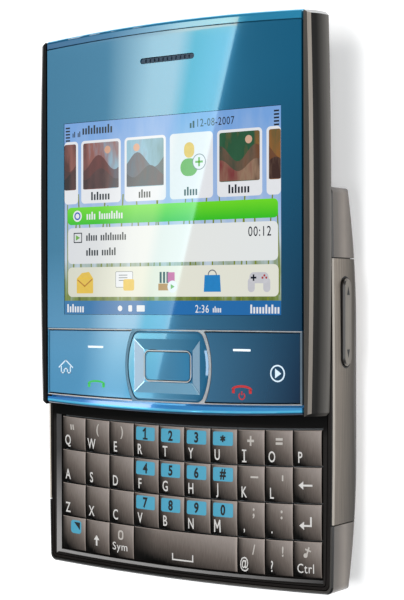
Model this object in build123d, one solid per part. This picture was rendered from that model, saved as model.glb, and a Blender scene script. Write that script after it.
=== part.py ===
from build123d import *

import math
import os

# A slider phone lying on its back, with its screen half slid open over a four-row keyboard.
# Millimetres. +X is the phone's right side, +Y its top end and +Z points out of the screen.
# The origin is the middle of the flat rest on the back. The screen half is drawn in its closed
# place and moved by SLIDE_TRAVEL to the open place, which is the rest pose.

# ---------------------------------------------------------------- overall sizes
BASE_LENGTH = 74.4
BASE_WIDTH = 66.4
PHONE_THICKNESS = 16.6
SCREEN_THICKNESS = 4.4
END_CROWN = 0.75
SIDE_BULGE = 0.45
HALF_LENGTH = BASE_LENGTH / 2
HALF_WIDTH = BASE_WIDTH / 2

# ---------------------------------------------------------------- shared clearances
FIT = 0.1
SEAM = 0.2
SLIDE_GAP = 0.25
RUN_FIT = 0.12

# ---------------------------------------------------------------- base: skins and chassis
SKIN = 0.6
CHASSIS_WALL = 1.2
BACK_FLAT = 24.0
BACK_RISE = 3.3
BACK_EDGE_RADIUS = 5.0
END_BEVEL = 0.8
CORNER_RADIUS = 1.4
BOW_ANGLE = 18.0
BAND_FOOT = 3.0
BAND_STEP = 0.05
SKIN_EDGE_CHAMFER = 0.3
UPPER_CAP_LENGTH = 13.5
LOWER_CAP_LENGTH = 13.1
UPPER_SEAM_Y = HALF_LENGTH - UPPER_CAP_LENGTH
LOWER_SEAM_Y = LOWER_CAP_LENGTH - HALF_LENGTH
RING_WIDTH = 0.55
RING_CHAMFER = 0.15
DECK_SEAM = 0.15
DECK_THICKNESS = 2.15
BAY_INSET = 2.4
WEB_THICKNESS = 0.6

# ---------------------------------------------------------------- screws, under the battery cover
SCREW_SIDE_MARGIN = 6.2
SCREW_END_MARGIN = 18.2
SCREW_X = HALF_WIDTH - SCREW_SIDE_MARGIN
SCREW_Y = HALF_LENGTH - SCREW_END_MARGIN
SCREW_HEAD_RADIUS = 1.3
SCREW_HEAD_HEIGHT = 0.7
SCREW_SHANK_RADIUS = 0.7
SCREW_LENGTH = 4.5
SCREW_DRIVE_RADIUS = 0.55

# ---------------------------------------------------------------- battery
BATTERY_Y = -1.0
BATTERY_BASE = 1.1
BATTERY_SIDE_MARGIN = 5.5
BATTERY_END_MARGIN = 2.0
BATTERY_WIDTH = 2 * (SCREW_X - BATTERY_SIDE_MARGIN)
BATTERY_LENGTH = 2 * (SCREW_Y - BATTERY_END_MARGIN)
BATTERY_THICKNESS = 4.7
BATTERY_EDGE_RADIUS = 0.8
CONTACT_WIDTH = 12.0
CONTACT_LENGTH = 4.0

# ---------------------------------------------------------------- board and what is soldered to it
BOARD_THICKNESS = 0.8
CAN_HEIGHT = 1.1
SHIELD_CANS = ((-17.0, -6.0, 20.0, 15.0), (10.0, -8.0, 22.0, 18.0), (12.0, 10.0, 18.0, 9.0))
JACK_X = 19.0
JACK_Z = 7.0
JACK_LENGTH = 14.0
JACK_BORE_RADIUS = 1.75
JACK_NOSE_RADIUS = 2.4
JACK_BODY_WIDTH = 5.8
JACK_BODY_HEIGHT = 4.4
JACK_NOSE_LENGTH = 2.6
JACK_RECESS = 0.5
USB_X = -15.0
USB_WIDTH = 7.6
USB_HEIGHT = 2.5
USB_LENGTH = 5.4
USB_WALL = 0.3
SPEAKER_X = -16.0
SPEAKER_END_MARGIN = 11.2
SPEAKER_Y = HALF_LENGTH - SPEAKER_END_MARGIN
SPEAKER_RADIUS = 5.5
SPEAKER_HEIGHT = 2.5
SPEAKER_LIFT = 0.3
SPEAKER_SLOTS = 5
SPEAKER_SLOT_WIDTH = 0.7
SPEAKER_SLOT_PITCH = 1.5
MOTOR_X = 18.0
MOTOR_END_MARGIN = 9.7
MOTOR_Y = MOTOR_END_MARGIN - HALF_LENGTH
MOTOR_RADIUS = 1.8
MOTOR_LENGTH = 9.0
WEIGHT_RADIUS = 1.3
WEIGHT_LENGTH = 3.2
WEIGHT_DROP = 0.4
MICROPHONE_RADIUS = 0.5

# ---------------------------------------------------------------- camera in the back
CAMERA_END_MARGIN = 8.7
CAMERA_Y = HALF_LENGTH - CAMERA_END_MARGIN
CAMERA_RADIUS = 4.0
CAMERA_DEPTH = 4.4
CAMERA_RECESS = 0.05
LENS_RADIUS = 2.7
LENS_THICKNESS = 0.5
LENS_CONE_DEPTH = 1.2
FLASH_X = 7.6
FLASH_RADIUS = 1.3
FLASH_DEPTH = 1.6

# ---------------------------------------------------------------- slide and the screen half's edges, closed
SLIDE_TRAVEL = 31.5
SIDE_MARGIN = 3.6
WINDOW_MARGIN = 0.3
TOP_ARCH = 1.0
WINDOW_ARCH = 0.95
CAP_DEPTH = 1.87
BOTTOM_MARGIN = 1.53
BOTTOM_ARCH = 1.0
STRIP_DEPTH = 1.88
STRIP_ARCH = 0.65
HOUSING_HALF = HALF_WIDTH - SIDE_MARGIN
WINDOW_HALF = HOUSING_HALF - WINDOW_MARGIN
TOP_EDGE_MIDDLE = HALF_LENGTH
TOP_EDGE_SIDE = TOP_EDGE_MIDDLE - TOP_ARCH
WINDOW_TOP_SIDE = TOP_EDGE_SIDE - CAP_DEPTH
WINDOW_TOP_MIDDLE = WINDOW_TOP_SIDE + WINDOW_ARCH
BOTTOM_EDGE_SIDE = BOTTOM_MARGIN - HALF_LENGTH
BOTTOM_EDGE_MIDDLE = BOTTOM_EDGE_SIDE - BOTTOM_ARCH
STRIP_TOP_SIDE = BOTTOM_EDGE_SIDE + STRIP_DEPTH
STRIP_TOP_MIDDLE = STRIP_TOP_SIDE - STRIP_ARCH

# ---------------------------------------------------------------- keyboard
KEY_ROWS = 4
KEY_COLUMNS = 10
KEY_SIDE_MARGIN = 3.0
KEY_HEAD_MARGIN = 2.96
KEY_FOOT_MARGIN = 2.52
ROW_ARCH = 0.87
KEY_SPLIT = 0.26
KEY_THICKNESS = 1.25
KEY_TRAVEL = 0.3
KEY_RECESS = 0.75
KEY_DOME_RADIUS = 26.0
KEY_DOME_DROP = 0.1
KEY_EDGE_BEVEL = 0.25
RECESS_WALL_GAP = 0.26
BEVEL_DEPTH = 0.95
BEVEL_SIDE = 0.5
BEVEL_FOOT = 0.7
MAT_THICKNESS = 0.65
MAT_MARGIN = 0.35
DOME_RADIUS = 1.5
DOME_HEIGHT = 0.2
DOME_SIDES = 6
SPACE_FIRST_COLUMN = 3
SPACE_COLUMNS = 4
ROW_NAMES = (
    ("q", "w", "e", "r", "t", "y", "u", "i", "o", "p"),
    ("a", "s", "d", "f", "g", "h", "j", "k", "l", "backspace"),
    ("z", "x", "c", "v", "b", "n", "m", "comma", "period", "enter"),
    ("fn", "shift", "sym", "space", "at", "question", "ctrl"),
)

# ---------------------------------------------------------------- volume rocker, right side
ROCKER_MARGIN = 11.55
ROCKER_Y = UPPER_SEAM_Y - ROCKER_MARGIN
ROCKER_Z = 7.55
ROCKER_LENGTH = 15.8
ROCKER_HEIGHT = 2.9
ROCKER_PROUD = 0.5
ROCKER_DEPTH = 1.35
ROCKER_PIVOT_RADIUS = 0.5
ROCKER_EDGE_BEVEL = 0.3

# ---------------------------------------------------------------- slide mechanism
RAIL_SIDE_MARGIN = 9.2
RAIL_LENGTH = 36.5
RAIL_END_MARGIN = 3.7
RAIL_X = HALF_WIDTH - RAIL_SIDE_MARGIN
RAIL_HIGH_Y = HALF_LENGTH - RAIL_END_MARGIN
RAIL_LOW_Y = RAIL_HIGH_Y - RAIL_LENGTH
RAIL_WEB = 1.2
RAIL_HEAD_WIDTH = 3.2
RAIL_HEAD_THICKNESS = 0.42
RAIL_FOOT_WIDTH = 3.0
RAIL_FOOT_THICKNESS = 0.6
CHANNEL_LIP = 0.55

# ---------------------------------------------------------------- screen half, in its closed place
SCREEN_BACK_THICKNESS = 1.6
SEAT_HEIGHT = 1.1
FRONT_KEY_DEPTH = 12.73
DIVIDER_Y = STRIP_TOP_SIDE + FRONT_KEY_DEPTH
CAP_EDGE_RADIUS = 0.7
DISPLAY_SIDE_MARGIN = 4.28
DISPLAY_HEAD_MARGIN = 14.88
DISPLAY_FOOT_MARGIN = 2.98
DISPLAY_WIDTH = 2 * (WINDOW_HALF - DISPLAY_SIDE_MARGIN)
DISPLAY_LOW_Y = DIVIDER_Y + DISPLAY_FOOT_MARGIN
DISPLAY_LENGTH = WINDOW_TOP_SIDE - DISPLAY_HEAD_MARGIN - DISPLAY_LOW_Y
MODULE_MARGIN = 2.0
GLASS_RECESS = 0.1
PLATE_CORNER_RADIUS = 0.9

# ---------------------------------------------------------------- side rails of the screen half
GRIP_STEP = 0.35
GRIP_WAIST_LEAN = 0.25
GRIP_FRONT_LEAN = 1.35
GRIP_WAIST_SHARE = 0.45
GRIP_BULGE = 0.5
GRIP_END_STEP = 1.24
GRIP_END_CHAMFER = 0.6
GRIP_LINE_HEIGHT = 0.4
GRIP_LINE_WIDTH = 0.6
GRIP_FRONT_STEP = 0.05
GRIP_INNER_HALF = HOUSING_HALF + FIT
GRIP_BACK_HALF = HALF_WIDTH - GRIP_STEP
GRIP_WAIST_HALF = GRIP_BACK_HALF - GRIP_WAIST_LEAN
GRIP_FRONT_HALF = GRIP_BACK_HALF - GRIP_FRONT_LEAN
GRIP_LENGTH = BASE_LENGTH - 2 * GRIP_END_STEP

# ---------------------------------------------------------------- front keys
FRAME_LINE = 0.38
FRAME_STEP = 0.05
PLATE_STEP = 0.12
PLATE_LIFT = 0.3
NAV_LINE = 0.25
NAV_HIGH_Y = DIVIDER_Y + FRAME_LINE / 2 - NAV_LINE - FIT
NAV_LOW_Y = STRIP_TOP_MIDDLE - FRAME_LINE / 2 + NAV_LINE + FIT
NAV_Y = (NAV_HIGH_Y + NAV_LOW_Y) / 2
NAV_HEIGHT = NAV_HIGH_Y - NAV_LOW_Y
NAV_WIDTH = 18.6
NAV_BULGE = 1.75
NAV_CROWN = 0.05
NAV_CORNER = 1.6
NAV_PROUD = 0.22
NAV_EDGE_BEVEL = 0.35
NAV_SURROUND = 0.5
SELECT_WIDTH = 11.0
SELECT_HEIGHT = 6.0
SELECT_CORNER = 1.3
SELECT_RIM = 0.45
SELECT_DISH = 0.12
FACET_REACH = 2.1
FACET_DROP = 0.5

# ---------------------------------------------------------------- earpiece
EARPIECE_MARGIN = 4.25
EARPIECE_Y = WINDOW_TOP_SIDE - EARPIECE_MARGIN
EARPIECE_LENGTH = 12.5
EARPIECE_HEIGHT = 1.1
EARPIECE_RECESS = 0.25
GRILLE_PITCH = 1.0
GRILLE_SLOT = (0.35, 0.6, 0.5)
RECEIVER_LENGTH = 15.0
RECEIVER_WIDTH = 6.0

# ---------------------------------------------------------------- places worked out from the above
DECK_TOP = PHONE_THICKNESS - SCREEN_THICKNESS - SLIDE_GAP
DECK_FOOT = DECK_TOP - DECK_THICKNESS
BAND_TOP = DECK_TOP - BAND_STEP
CORE_INSET = SKIN + FIT
DECK_INSET = CORE_INSET + RING_WIDTH
BAY_FLOOR = BATTERY_BASE + BATTERY_THICKNESS + FIT + WEB_THICKNESS
KEY_HALF_FIELD = HALF_WIDTH - KEY_SIDE_MARGIN
COLUMN_PITCH = 2 * KEY_HALF_FIELD / KEY_COLUMNS
KEY_FIELD_TOP = BOTTOM_EDGE_SIDE + SLIDE_TRAVEL - KEY_HEAD_MARGIN
KEY_FIELD_FOOT = END_CROWN + KEY_FOOT_MARGIN - HALF_LENGTH
ROW_PITCH = (KEY_FIELD_TOP - KEY_FIELD_FOOT) / KEY_ROWS
KEY_TOP = DECK_TOP - KEY_RECESS
KEY_FOOT = KEY_TOP - KEY_THICKNESS
DOME_TOP = KEY_FOOT - KEY_TRAVEL - SEAM / 4
MAT_TOP = DOME_TOP - DOME_HEIGHT
BOARD_TOP = MAT_TOP - MAT_THICKNESS - FIT
BOARD_FOOT = BOARD_TOP - BOARD_THICKNESS
SCREEN_FOOT = DECK_TOP + SLIDE_GAP
SCREEN_BACK_TOP = SCREEN_FOOT + SCREEN_BACK_THICKNESS
HOUSING_FOOT = SCREEN_BACK_TOP + FIT
SEAT_TOP = HOUSING_FOOT + SEAT_HEIGHT
DISPLAY_MID_Y = DISPLAY_LOW_Y + DISPLAY_LENGTH / 2
BACK_ARC_RADIUS = ((HALF_LENGTH - BACK_FLAT / 2) ** 2 + BACK_RISE**2) / (2 * BACK_RISE)


# ---------------------------------------------------------------- shared shapes
def box_between(low, high):
    """Box from its lowest to its highest corner."""
    size = [high[i] - low[i] for i in range(3)]
    middle = [(high[i] + low[i]) / 2 for i in range(3)]
    return Pos(*middle) * Box(*size)


def shallow_arc(start, rise, end):
    """Arc from start to end that stands rise above the middle of its chord, along Y."""
    middle = ((start[0] + end[0]) / 2, (start[1] + end[1]) / 2 + rise)
    return Line(start, end) if abs(rise) < 1e-6 else ThreePointArc(start, middle, end)


def arched_face(half_width, low_side, low_middle, high_side, high_middle):
    """Face with straight sides between a lower and an upper shallow arc."""
    corners = [(-half_width, low_side), (half_width, low_side)]
    corners += [(half_width, high_side), (-half_width, high_side)]
    return make_face(
        [
            shallow_arc(corners[0], low_middle - low_side, corners[1]),
            Line(corners[1], corners[2]),
            shallow_arc(corners[2], high_middle - high_side, corners[3]),
            Line(corners[3], corners[0]),
        ]
    )


def crowned_face(half_width, half_length, bulge, crown):
    """Face of four shallow arcs, widest at the middle of each side."""
    x, y = half_width - bulge, half_length - crown
    return make_face(
        [
            ThreePointArc((x, -y), (half_width, 0), (x, y)),
            ThreePointArc((x, y), (0, half_length), (-x, y)),
            ThreePointArc((-x, y), (-half_width, 0), (-x, -y)),
            ThreePointArc((-x, -y), (0, -half_length), (x, -y)),
        ]
    )


def prism(face, low, high):
    """Flat face pulled up from height low to height high."""
    return extrude(Pos(0, 0, low) * face, amount=high - low)


def standing(radius, height):
    """Upright cylinder with its foot at the origin."""
    return Cylinder(radius, height, align=(Align.CENTER, Align.CENTER, Align.MIN))


def rounded_bar(length, height, depth):
    """Bar with round ends: length along Y, height along Z, depth along +X from the YZ plane."""
    return extrude(Plane.YZ * SlotOverall(length, height), amount=depth)


def both_sides(shape):
    """The shape and its mirror image across the middle plane of the phone."""
    return [shape, mirror(shape, about=Plane.YZ)]


def back_height(y, inset=0.0):
    """Height of the bowed back surface, moved inwards by inset, at the place y."""
    beyond = max(abs(y) - BACK_FLAT / 2, 0.0)
    return BACK_ARC_RADIUS - math.sqrt((BACK_ARC_RADIUS - inset) ** 2 - beyond**2)


# ---------------------------------------------------------------- outer form of the base
def base_outline(inset):
    """Plan view of the base, moved inwards by inset, with rounded corners."""
    outline = crowned_face(HALF_WIDTH - inset, HALF_LENGTH - inset, SIDE_BULGE, END_CROWN)
    return fillet(outline.vertices(), CORNER_RADIUS - inset / 2)


def back_section(inset):
    """Front view of the base: upright sides rounded into a level back."""
    x, z, radius, top = HALF_WIDTH - inset, inset, BACK_EDGE_RADIUS - inset, PHONE_THICKNESS
    near = radius * (1 - math.sqrt(0.5))
    return make_face(
        [
            Line((radius - x, z), (x - radius, z)),
            ThreePointArc((x - radius, z), (x - near, z + near), (x, z + radius)),
            Line((x, z + radius), (x, top)),
            Line((x, top), (-x, top)),
            Line((-x, top), (-x, z + radius)),
            ThreePointArc((-x, z + radius), (near - x, z + near), (radius - x, z)),
        ]
    )


def bowed_bar(inset):
    """The front view carried along the bow: straight in the middle, turned upwards at the ends."""
    flat = BACK_FLAT / 2
    section = back_section(inset)
    bow_axis = Axis((0, flat, BACK_ARC_RADIUS), (1, 0, 0))
    upper = revolve(Plane.XZ.offset(-flat) * section, axis=bow_axis, revolution_arc=BOW_ANGLE)
    return extrude(Plane.XZ * section, amount=flat, both=True) + upper + mirror(upper, about=Plane.XZ)


def end_bevel(inset, end):
    """Wedge that bevels the edge between the bowed back and the upper (1) or lower (-1) end."""
    y, width = HALF_LENGTH - inset, END_BEVEL - inset / 2
    z, deep = back_height(y, inset), END_BEVEL * 3
    corners = [(y - width, z - deep), (y - width, z), (y, z + width)]
    corners += [(y + deep, z + width), (y + deep, z - deep)]
    wedge = make_face(Polyline(*[(end * py, pz) for py, pz in corners], close=True))
    return extrude(Plane.YZ * wedge, amount=BASE_WIDTH, both=True)


def base_envelope(inset, top, edge_cut=0):
    """Outer form of the base, moved inwards by inset, cut off level at top and bevelled there by edge_cut."""
    plan = prism(base_outline(inset), 0, top)
    if edge_cut:
        plan = chamfer(plan.faces().sort_by(Axis.Z)[-1].edges(), edge_cut)
    body = plan & bowed_bar(inset)
    return body - [end_bevel(inset, end) for end in (-1, 1)]


def base_skin():
    """Thin outer shell, bevelled round its front edge, from which the cover, caps and bands are cut."""
    return base_envelope(0, BAND_TOP, SKIN_EDGE_CHAMFER) - base_envelope(SKIN, BAND_TOP)


def back_plane(x, y):
    """Plane on the bowed back at (x, y), with its normal pointing into the phone."""
    lean = math.asin((abs(y) - BACK_FLAT / 2) / BACK_ARC_RADIUS) * math.copysign(1, y)
    return Plane(origin=(x, y, back_height(y)), x_dir=(1, 0, 0), z_dir=(0, -math.sin(lean), math.cos(lean)))


# ---------------------------------------------------------------- covers of the base
def skin_between(skin, low_y, high_y, low_z, high_z):
    """The stretch of the skin between two places along the phone and two heights."""
    reach = BASE_WIDTH
    return skin & box_between((-reach, low_y, low_z), (reach, high_y, high_z))


def battery_cover(skin):
    """Lift-off metal cover: the flat rest, both bowed ends of it and its rolled side edges."""
    return skin_between(skin, LOWER_SEAM_Y + SEAM / 2, UPPER_SEAM_Y - SEAM / 2, -SKIN, BAND_FOOT - SEAM / 2)


def rocker_slot(margin, depth):
    """Round-ended slot for the volume rocker, from inside the side wall outwards."""
    start = HALF_WIDTH - depth
    bar = rounded_bar(ROCKER_LENGTH + 2 * margin, ROCKER_HEIGHT + 2 * margin, depth + ROCKER_PROUD)
    return Pos(start, ROCKER_Y, ROCKER_Z) * bar


def side_bands(skin):
    """Two brushed metal bands; the right one is slotted for the rocker."""
    low_y, high_y = LOWER_SEAM_Y + SEAM / 2, UPPER_SEAM_Y - SEAM / 2
    bands = skin_between(skin, low_y, high_y, BAND_FOOT + SEAM / 2, BAND_TOP)
    return bands - rocker_slot(FIT + SEAM / 4, 4 * SKIN)


def speaker_slots():
    """Five slots for the loudspeaker, through the back of the upper cap."""
    slot = SlotOverall(1.6 * SPEAKER_RADIUS, SPEAKER_SLOT_WIDTH)
    middle = (SPEAKER_SLOTS - 1) / 2
    rows = [Pos(0, (row - middle) * SPEAKER_SLOT_PITCH) * slot for row in range(SPEAKER_SLOTS)]
    return [extrude(back_plane(SPEAKER_X, SPEAKER_Y) * row, amount=2 * SKIN, both=True) for row in rows]


def camera_holes(margin, depth):
    """Round holes for the camera and its flash, square to the bowed back."""
    camera = back_plane(0, CAMERA_Y) * Circle(CAMERA_RADIUS + margin)
    flash = back_plane(FLASH_X, CAMERA_Y) * Circle(FLASH_RADIUS + margin)
    return [extrude(face, amount=depth, both=True) for face in (camera, flash)]


def jack_hole(radius, length):
    """Round hole for the headset jack through the upper end."""
    return Pos(JACK_X, HALF_LENGTH + SKIN, JACK_Z) * Rot(90, 0, 0) * standing(radius, length)


def usb_middle_z():
    """Height of the middle of the data socket, which hangs under the board."""
    return BOARD_FOOT - FIT - USB_HEIGHT / 2


def usb_hole(margin):
    """Round-ended hole for the data socket through the upper end."""
    slot = SlotOverall(USB_WIDTH + 2 * margin, USB_HEIGHT + 2 * margin)
    start = HALF_LENGTH - USB_LENGTH - 2 * END_CROWN
    return extrude(Plane.XZ.offset(-start) * Pos(USB_X, usb_middle_z()) * slot, amount=-2 * USB_LENGTH)


def end_caps(skin):
    """Moulded caps of the two ends, each with its part of the sides and the back."""
    reach = BASE_LENGTH
    upper = skin_between(skin, UPPER_SEAM_Y + SEAM / 2, reach, -SKIN, BAND_TOP)
    lower = skin_between(skin, -reach, LOWER_SEAM_Y - SEAM / 2, -SKIN, BAND_TOP)
    upper = upper - speaker_slots() - camera_holes(FIT, 2 * SKIN)
    upper = upper - jack_hole(JACK_NOSE_RADIUS + FIT, 4 * SKIN) - usb_hole(0)
    microphone = Pos(0, -HALF_LENGTH, JACK_Z) * Rot(90, 0, 0) * Cylinder(MICROPHONE_RADIUS, 4 * SKIN)
    return [upper, lower - microphone]


# ---------------------------------------------------------------- chassis
def end_wells():
    """Deep wells at both ends of the chassis, following the bowed back inside."""
    inside = bowed_bar(CORE_INSET + CHASSIS_WALL)
    half_width = HALF_WIDTH - BAY_INSET - CHASSIS_WALL
    end, top = HALF_LENGTH - BAY_INSET, BAY_FLOOR + FIT
    beyond_screws = BATTERY_LENGTH / 2 + CHASSIS_WALL + SCREW_HEAD_RADIUS * 2
    upper = box_between((-half_width, BATTERY_Y + beyond_screws, 0), (half_width, end, top))
    lower = box_between((-half_width, -end, 0), (half_width, BATTERY_Y - beyond_screws, top))
    return [inside & upper, inside & lower]


def battery_bay():
    """Open bay for the battery, cut from the back."""
    half_width, half_length = BATTERY_WIDTH / 2 + SEAM, BATTERY_LENGTH / 2 + SEAM
    low = (-half_width, BATTERY_Y - half_length, -SKIN)
    return box_between(low, (half_width, BATTERY_Y + half_length, BAY_FLOOR - WEB_THICKNESS))


def contact_window():
    """Opening in the web between battery and board, for the battery's spring contacts."""
    edge = BATTERY_Y + BATTERY_LENGTH / 2 - CONTACT_LENGTH / 4
    half_width = CONTACT_WIDTH / 2
    low_corner = (-half_width, edge - CONTACT_LENGTH, BATTERY_BASE)
    return box_between(low_corner, (half_width, edge, BAY_FLOOR + FIT))


def screw_places():
    """The four screws that hold the chassis to the deck, seen with the battery cover off."""
    return [(x, BATTERY_Y + y) for x in (-SCREW_X, SCREW_X) for y in (-SCREW_Y, SCREW_Y)]


def screw_seat(x, y, margin):
    """Height at which a screw's head starts, clear of the cover's inner face."""
    return back_height(abs(y) + SCREW_HEAD_RADIUS, SKIN) + SKIN + margin


def screw_hole(x, y):
    """Counterbored hole for one screw, cut from the back."""
    seat = screw_seat(x, y, 0) + SCREW_HEAD_HEIGHT
    head = Pos(x, y, 0) * Cylinder(SCREW_HEAD_RADIUS + FIT, 2 * seat)
    shank = standing(SCREW_SHANK_RADIUS + FIT / 2, SCREW_LENGTH + FIT)
    return head + Pos(x, y, seat - FIT) * shank


def rocker_pocket():
    """Pocket in the chassis behind the rocker, deep enough for it to tilt."""
    margin = FIT + SEAM
    return rocker_slot(margin, ROCKER_DEPTH + ROCKER_PIVOT_RADIUS + FIT)


def base_chassis():
    """Moulded inner frame: walls, web over the battery, end wells and the ring round the deck."""
    body = base_envelope(CORE_INSET, DECK_TOP)
    body = chamfer(body.edges().filter_by(lambda e: e.center().Z > DECK_TOP - FIT), RING_CHAMFER)
    body -= prism(base_outline(DECK_INSET), DECK_FOOT, DECK_TOP)
    body -= prism(base_outline(BAY_INSET), BAY_FLOOR, DECK_FOOT)
    body -= end_wells() + [battery_bay(), contact_window()]
    body -= camera_holes(SEAM, CAMERA_DEPTH)
    body -= [jack_hole(JACK_NOSE_RADIUS + FIT, 4 * CHASSIS_WALL), usb_hole(FIT), rocker_pocket()]
    return body - [screw_hole(x, y) for x, y in screw_places()]


def screws():
    """Four countersunk pan-head screws with a star recess."""
    solids = []
    for x, y in screw_places():
        seat = screw_seat(x, y, FIT)
        head = Pos(x, y, seat) * standing(SCREW_HEAD_RADIUS, SCREW_HEAD_HEIGHT - FIT)
        shank = standing(SCREW_SHANK_RADIUS, SCREW_LENGTH)
        drive = Pos(x, y, seat) * extrude(RegularPolygon(SCREW_DRIVE_RADIUS, 6), SCREW_HEAD_HEIGHT / 2)
        solids.append(head + Pos(x, y, seat + SCREW_HEAD_HEIGHT / 2) * shank - drive)
    return solids


# ---------------------------------------------------------------- inside the base
def battery():
    """Flat battery pack with rounded long edges and its contact strip."""
    half_width, half_length = BATTERY_WIDTH / 2, BATTERY_LENGTH / 2
    low = (-half_width, BATTERY_Y - half_length, BATTERY_BASE)
    body = box_between(low, (half_width, BATTERY_Y + half_length, BATTERY_BASE + BATTERY_THICKNESS))
    body = fillet(body.edges().filter_by(Axis.Z), BATTERY_EDGE_RADIUS)
    end, middle = BATTERY_Y + half_length, BATTERY_BASE + BATTERY_THICKNESS / 2
    contacts = Pos(0, end, middle) * Box(CONTACT_WIDTH, CONTACT_LENGTH / 2, BATTERY_THICKNESS / 2)
    return body - contacts


def board_plate():
    """Circuit board that fills the bay, with a notch for the headset jack."""
    plate = prism(base_outline(BAY_INSET + 3 * FIT), BOARD_FOOT, BOARD_TOP)
    notch_half = JACK_BODY_WIDTH / 2 + 2 * FIT
    notch_start = HALF_LENGTH - JACK_LENGTH - JACK_NOSE_LENGTH
    return plate - box_between(
        (JACK_X - notch_half, notch_start, BOARD_FOOT - 1), (JACK_X + notch_half, BASE_LENGTH, BOARD_TOP + 1)
    )


def shield_cans():
    """Tinplate cans over the chips on the underside of the board."""
    cans = []
    for x, y, width, length in SHIELD_CANS:
        low = (x - width / 2, y - length / 2, BOARD_FOOT - CAN_HEIGHT)
        can = box_between(low, (x + width / 2, y + length / 2, BOARD_FOOT))
        cans.append(fillet(can.edges().filter_by(Axis.Z), BATTERY_EDGE_RADIUS))
    return cans


def headset_jack():
    """Headset socket: a block with a round nose and a blind bore from the upper end."""
    mouth = HALF_LENGTH - JACK_RECESS
    start = mouth - JACK_LENGTH - SKIN
    body = box_between(
        (JACK_X - JACK_BODY_WIDTH / 2, start, JACK_Z - JACK_BODY_HEIGHT / 2),
        (JACK_X + JACK_BODY_WIDTH / 2, mouth - JACK_NOSE_LENGTH, JACK_Z + JACK_BODY_HEIGHT / 2),
    )
    inwards = Pos(JACK_X, mouth, JACK_Z) * Rot(90, 0, 0)
    nose = inwards * standing(JACK_NOSE_RADIUS, 2 * JACK_NOSE_LENGTH)
    return body + nose - inwards * standing(JACK_BORE_RADIUS, JACK_LENGTH)


def data_socket():
    """Folded steel shell of the data socket, open towards the upper end, with its tongue."""
    outer = SlotOverall(USB_WIDTH - FIT, USB_HEIGHT - FIT)
    inner = SlotOverall(USB_WIDTH - FIT - 2 * USB_WALL, USB_HEIGHT - FIT - 2 * USB_WALL)
    mouth = HALF_LENGTH - 2 * END_CROWN
    place = Plane.XZ.offset(-mouth) * Pos(USB_X, usb_middle_z())
    shell = extrude(place * outer, amount=USB_LENGTH)
    tongue = extrude(place * Rectangle(USB_WIDTH / 2, USB_WALL), amount=USB_LENGTH)
    return shell - extrude(place * inner, amount=USB_LENGTH - USB_WALL) + tongue


def loudspeaker():
    """Round loudspeaker in the upper well, facing its slots."""
    lift = CORE_INSET + CHASSIS_WALL + SPEAKER_LIFT
    face = back_plane(SPEAKER_X, SPEAKER_Y).offset(lift) * Circle(SPEAKER_RADIUS)
    return extrude(face, amount=SPEAKER_HEIGHT)


def vibration_motor():
    """Small motor lying across the lower well, with its offset weight."""
    z = BOARD_FOOT - SEAM - MOTOR_RADIUS
    can = Pos(MOTOR_X, MOTOR_Y, z) * Rot(0, 90, 0) * Cylinder(MOTOR_RADIUS, MOTOR_LENGTH)
    beside = MOTOR_X + (MOTOR_LENGTH + WEIGHT_LENGTH) / 2 - FIT
    weight = Pos(beside, MOTOR_Y, z - WEIGHT_DROP) * Rot(0, 90, 0)
    return can + weight * Cylinder(WEIGHT_RADIUS, WEIGHT_LENGTH)


def main_board():
    """Board with what is soldered to it."""
    parts = [board_plate(), headset_jack(), data_socket(), loudspeaker(), vibration_motor()]
    return parts + shield_cans()


def camera():
    """Camera barrel, its window and the flash, square to the bowed back."""
    mouth = back_plane(0, CAMERA_Y).offset(CAMERA_RECESS)
    barrel = extrude(mouth * Circle(CAMERA_RADIUS), amount=CAMERA_DEPTH)
    seat = extrude(mouth * Circle(LENS_RADIUS + FIT / 2), amount=LENS_THICKNESS + FIT)
    cone = extrude(mouth.offset(LENS_THICKNESS) * Circle(LENS_RADIUS / 2), amount=LENS_CONE_DEPTH)
    window = extrude(mouth.offset(FIT / 2) * Circle(LENS_RADIUS), amount=LENS_THICKNESS)
    beside = back_plane(FLASH_X, CAMERA_Y).offset(CAMERA_RECESS)
    flash = extrude(beside * Circle(FLASH_RADIUS), amount=FLASH_DEPTH)
    return [barrel - seat - cone, window, flash]


# ---------------------------------------------------------------- keyboard
def row_drop(x):
    """How far a key row lies below its corners at the place x, on the rows' common arc."""
    radius = (KEY_HALF_FIELD**2 + ROW_ARCH**2) / (2 * ROW_ARCH)
    return math.sqrt(radius**2 - x**2) - (radius - ROW_ARCH)


def key_outline(row, first_column, columns, inset=0.0):
    """Corner points of one key: straight sides, and ends that follow the row's arc."""
    edge = KEY_SPLIT / 2 + inset
    left = -KEY_HALF_FIELD + first_column * COLUMN_PITCH + edge
    right = left + columns * COLUMN_PITCH - 2 * edge
    top = KEY_FIELD_TOP - row * ROW_PITCH - edge
    foot = top - ROW_PITCH + 2 * edge
    steps = [left + (right - left) * i / columns for i in range(columns + 1)]
    upper = [(x, top - row_drop(x)) for x in steps]
    lower = [(x, foot - row_drop(x)) for x in reversed(steps)]
    return upper + lower


def key_cap(row, first_column, columns=1):
    """One key: a plate with a bevelled edge under a softly crowned top."""
    points = key_outline(row, first_column, columns)
    inner = key_outline(row, first_column, columns, KEY_EDGE_BEVEL)
    shoulder = KEY_TOP - KEY_DOME_DROP - KEY_EDGE_BEVEL
    wide = Pos(0, 0, shoulder) * make_face(Polyline(*points, close=True))
    narrow = Pos(0, 0, KEY_TOP) * make_face(Polyline(*inner, close=True))
    block = prism(make_face(Polyline(*points, close=True)), KEY_FOOT, shoulder)
    block += loft([wide, narrow], ruled=True)
    x = sum(p[0] for p in points) / len(points)
    y = sum(p[1] for p in points) / len(points)
    radius = KEY_DOME_RADIUS
    dome = Pos(x, y, KEY_TOP - radius) * Rot(0, 90, 0) * Cylinder(radius, columns * COLUMN_PITCH)
    return block & dome


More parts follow.
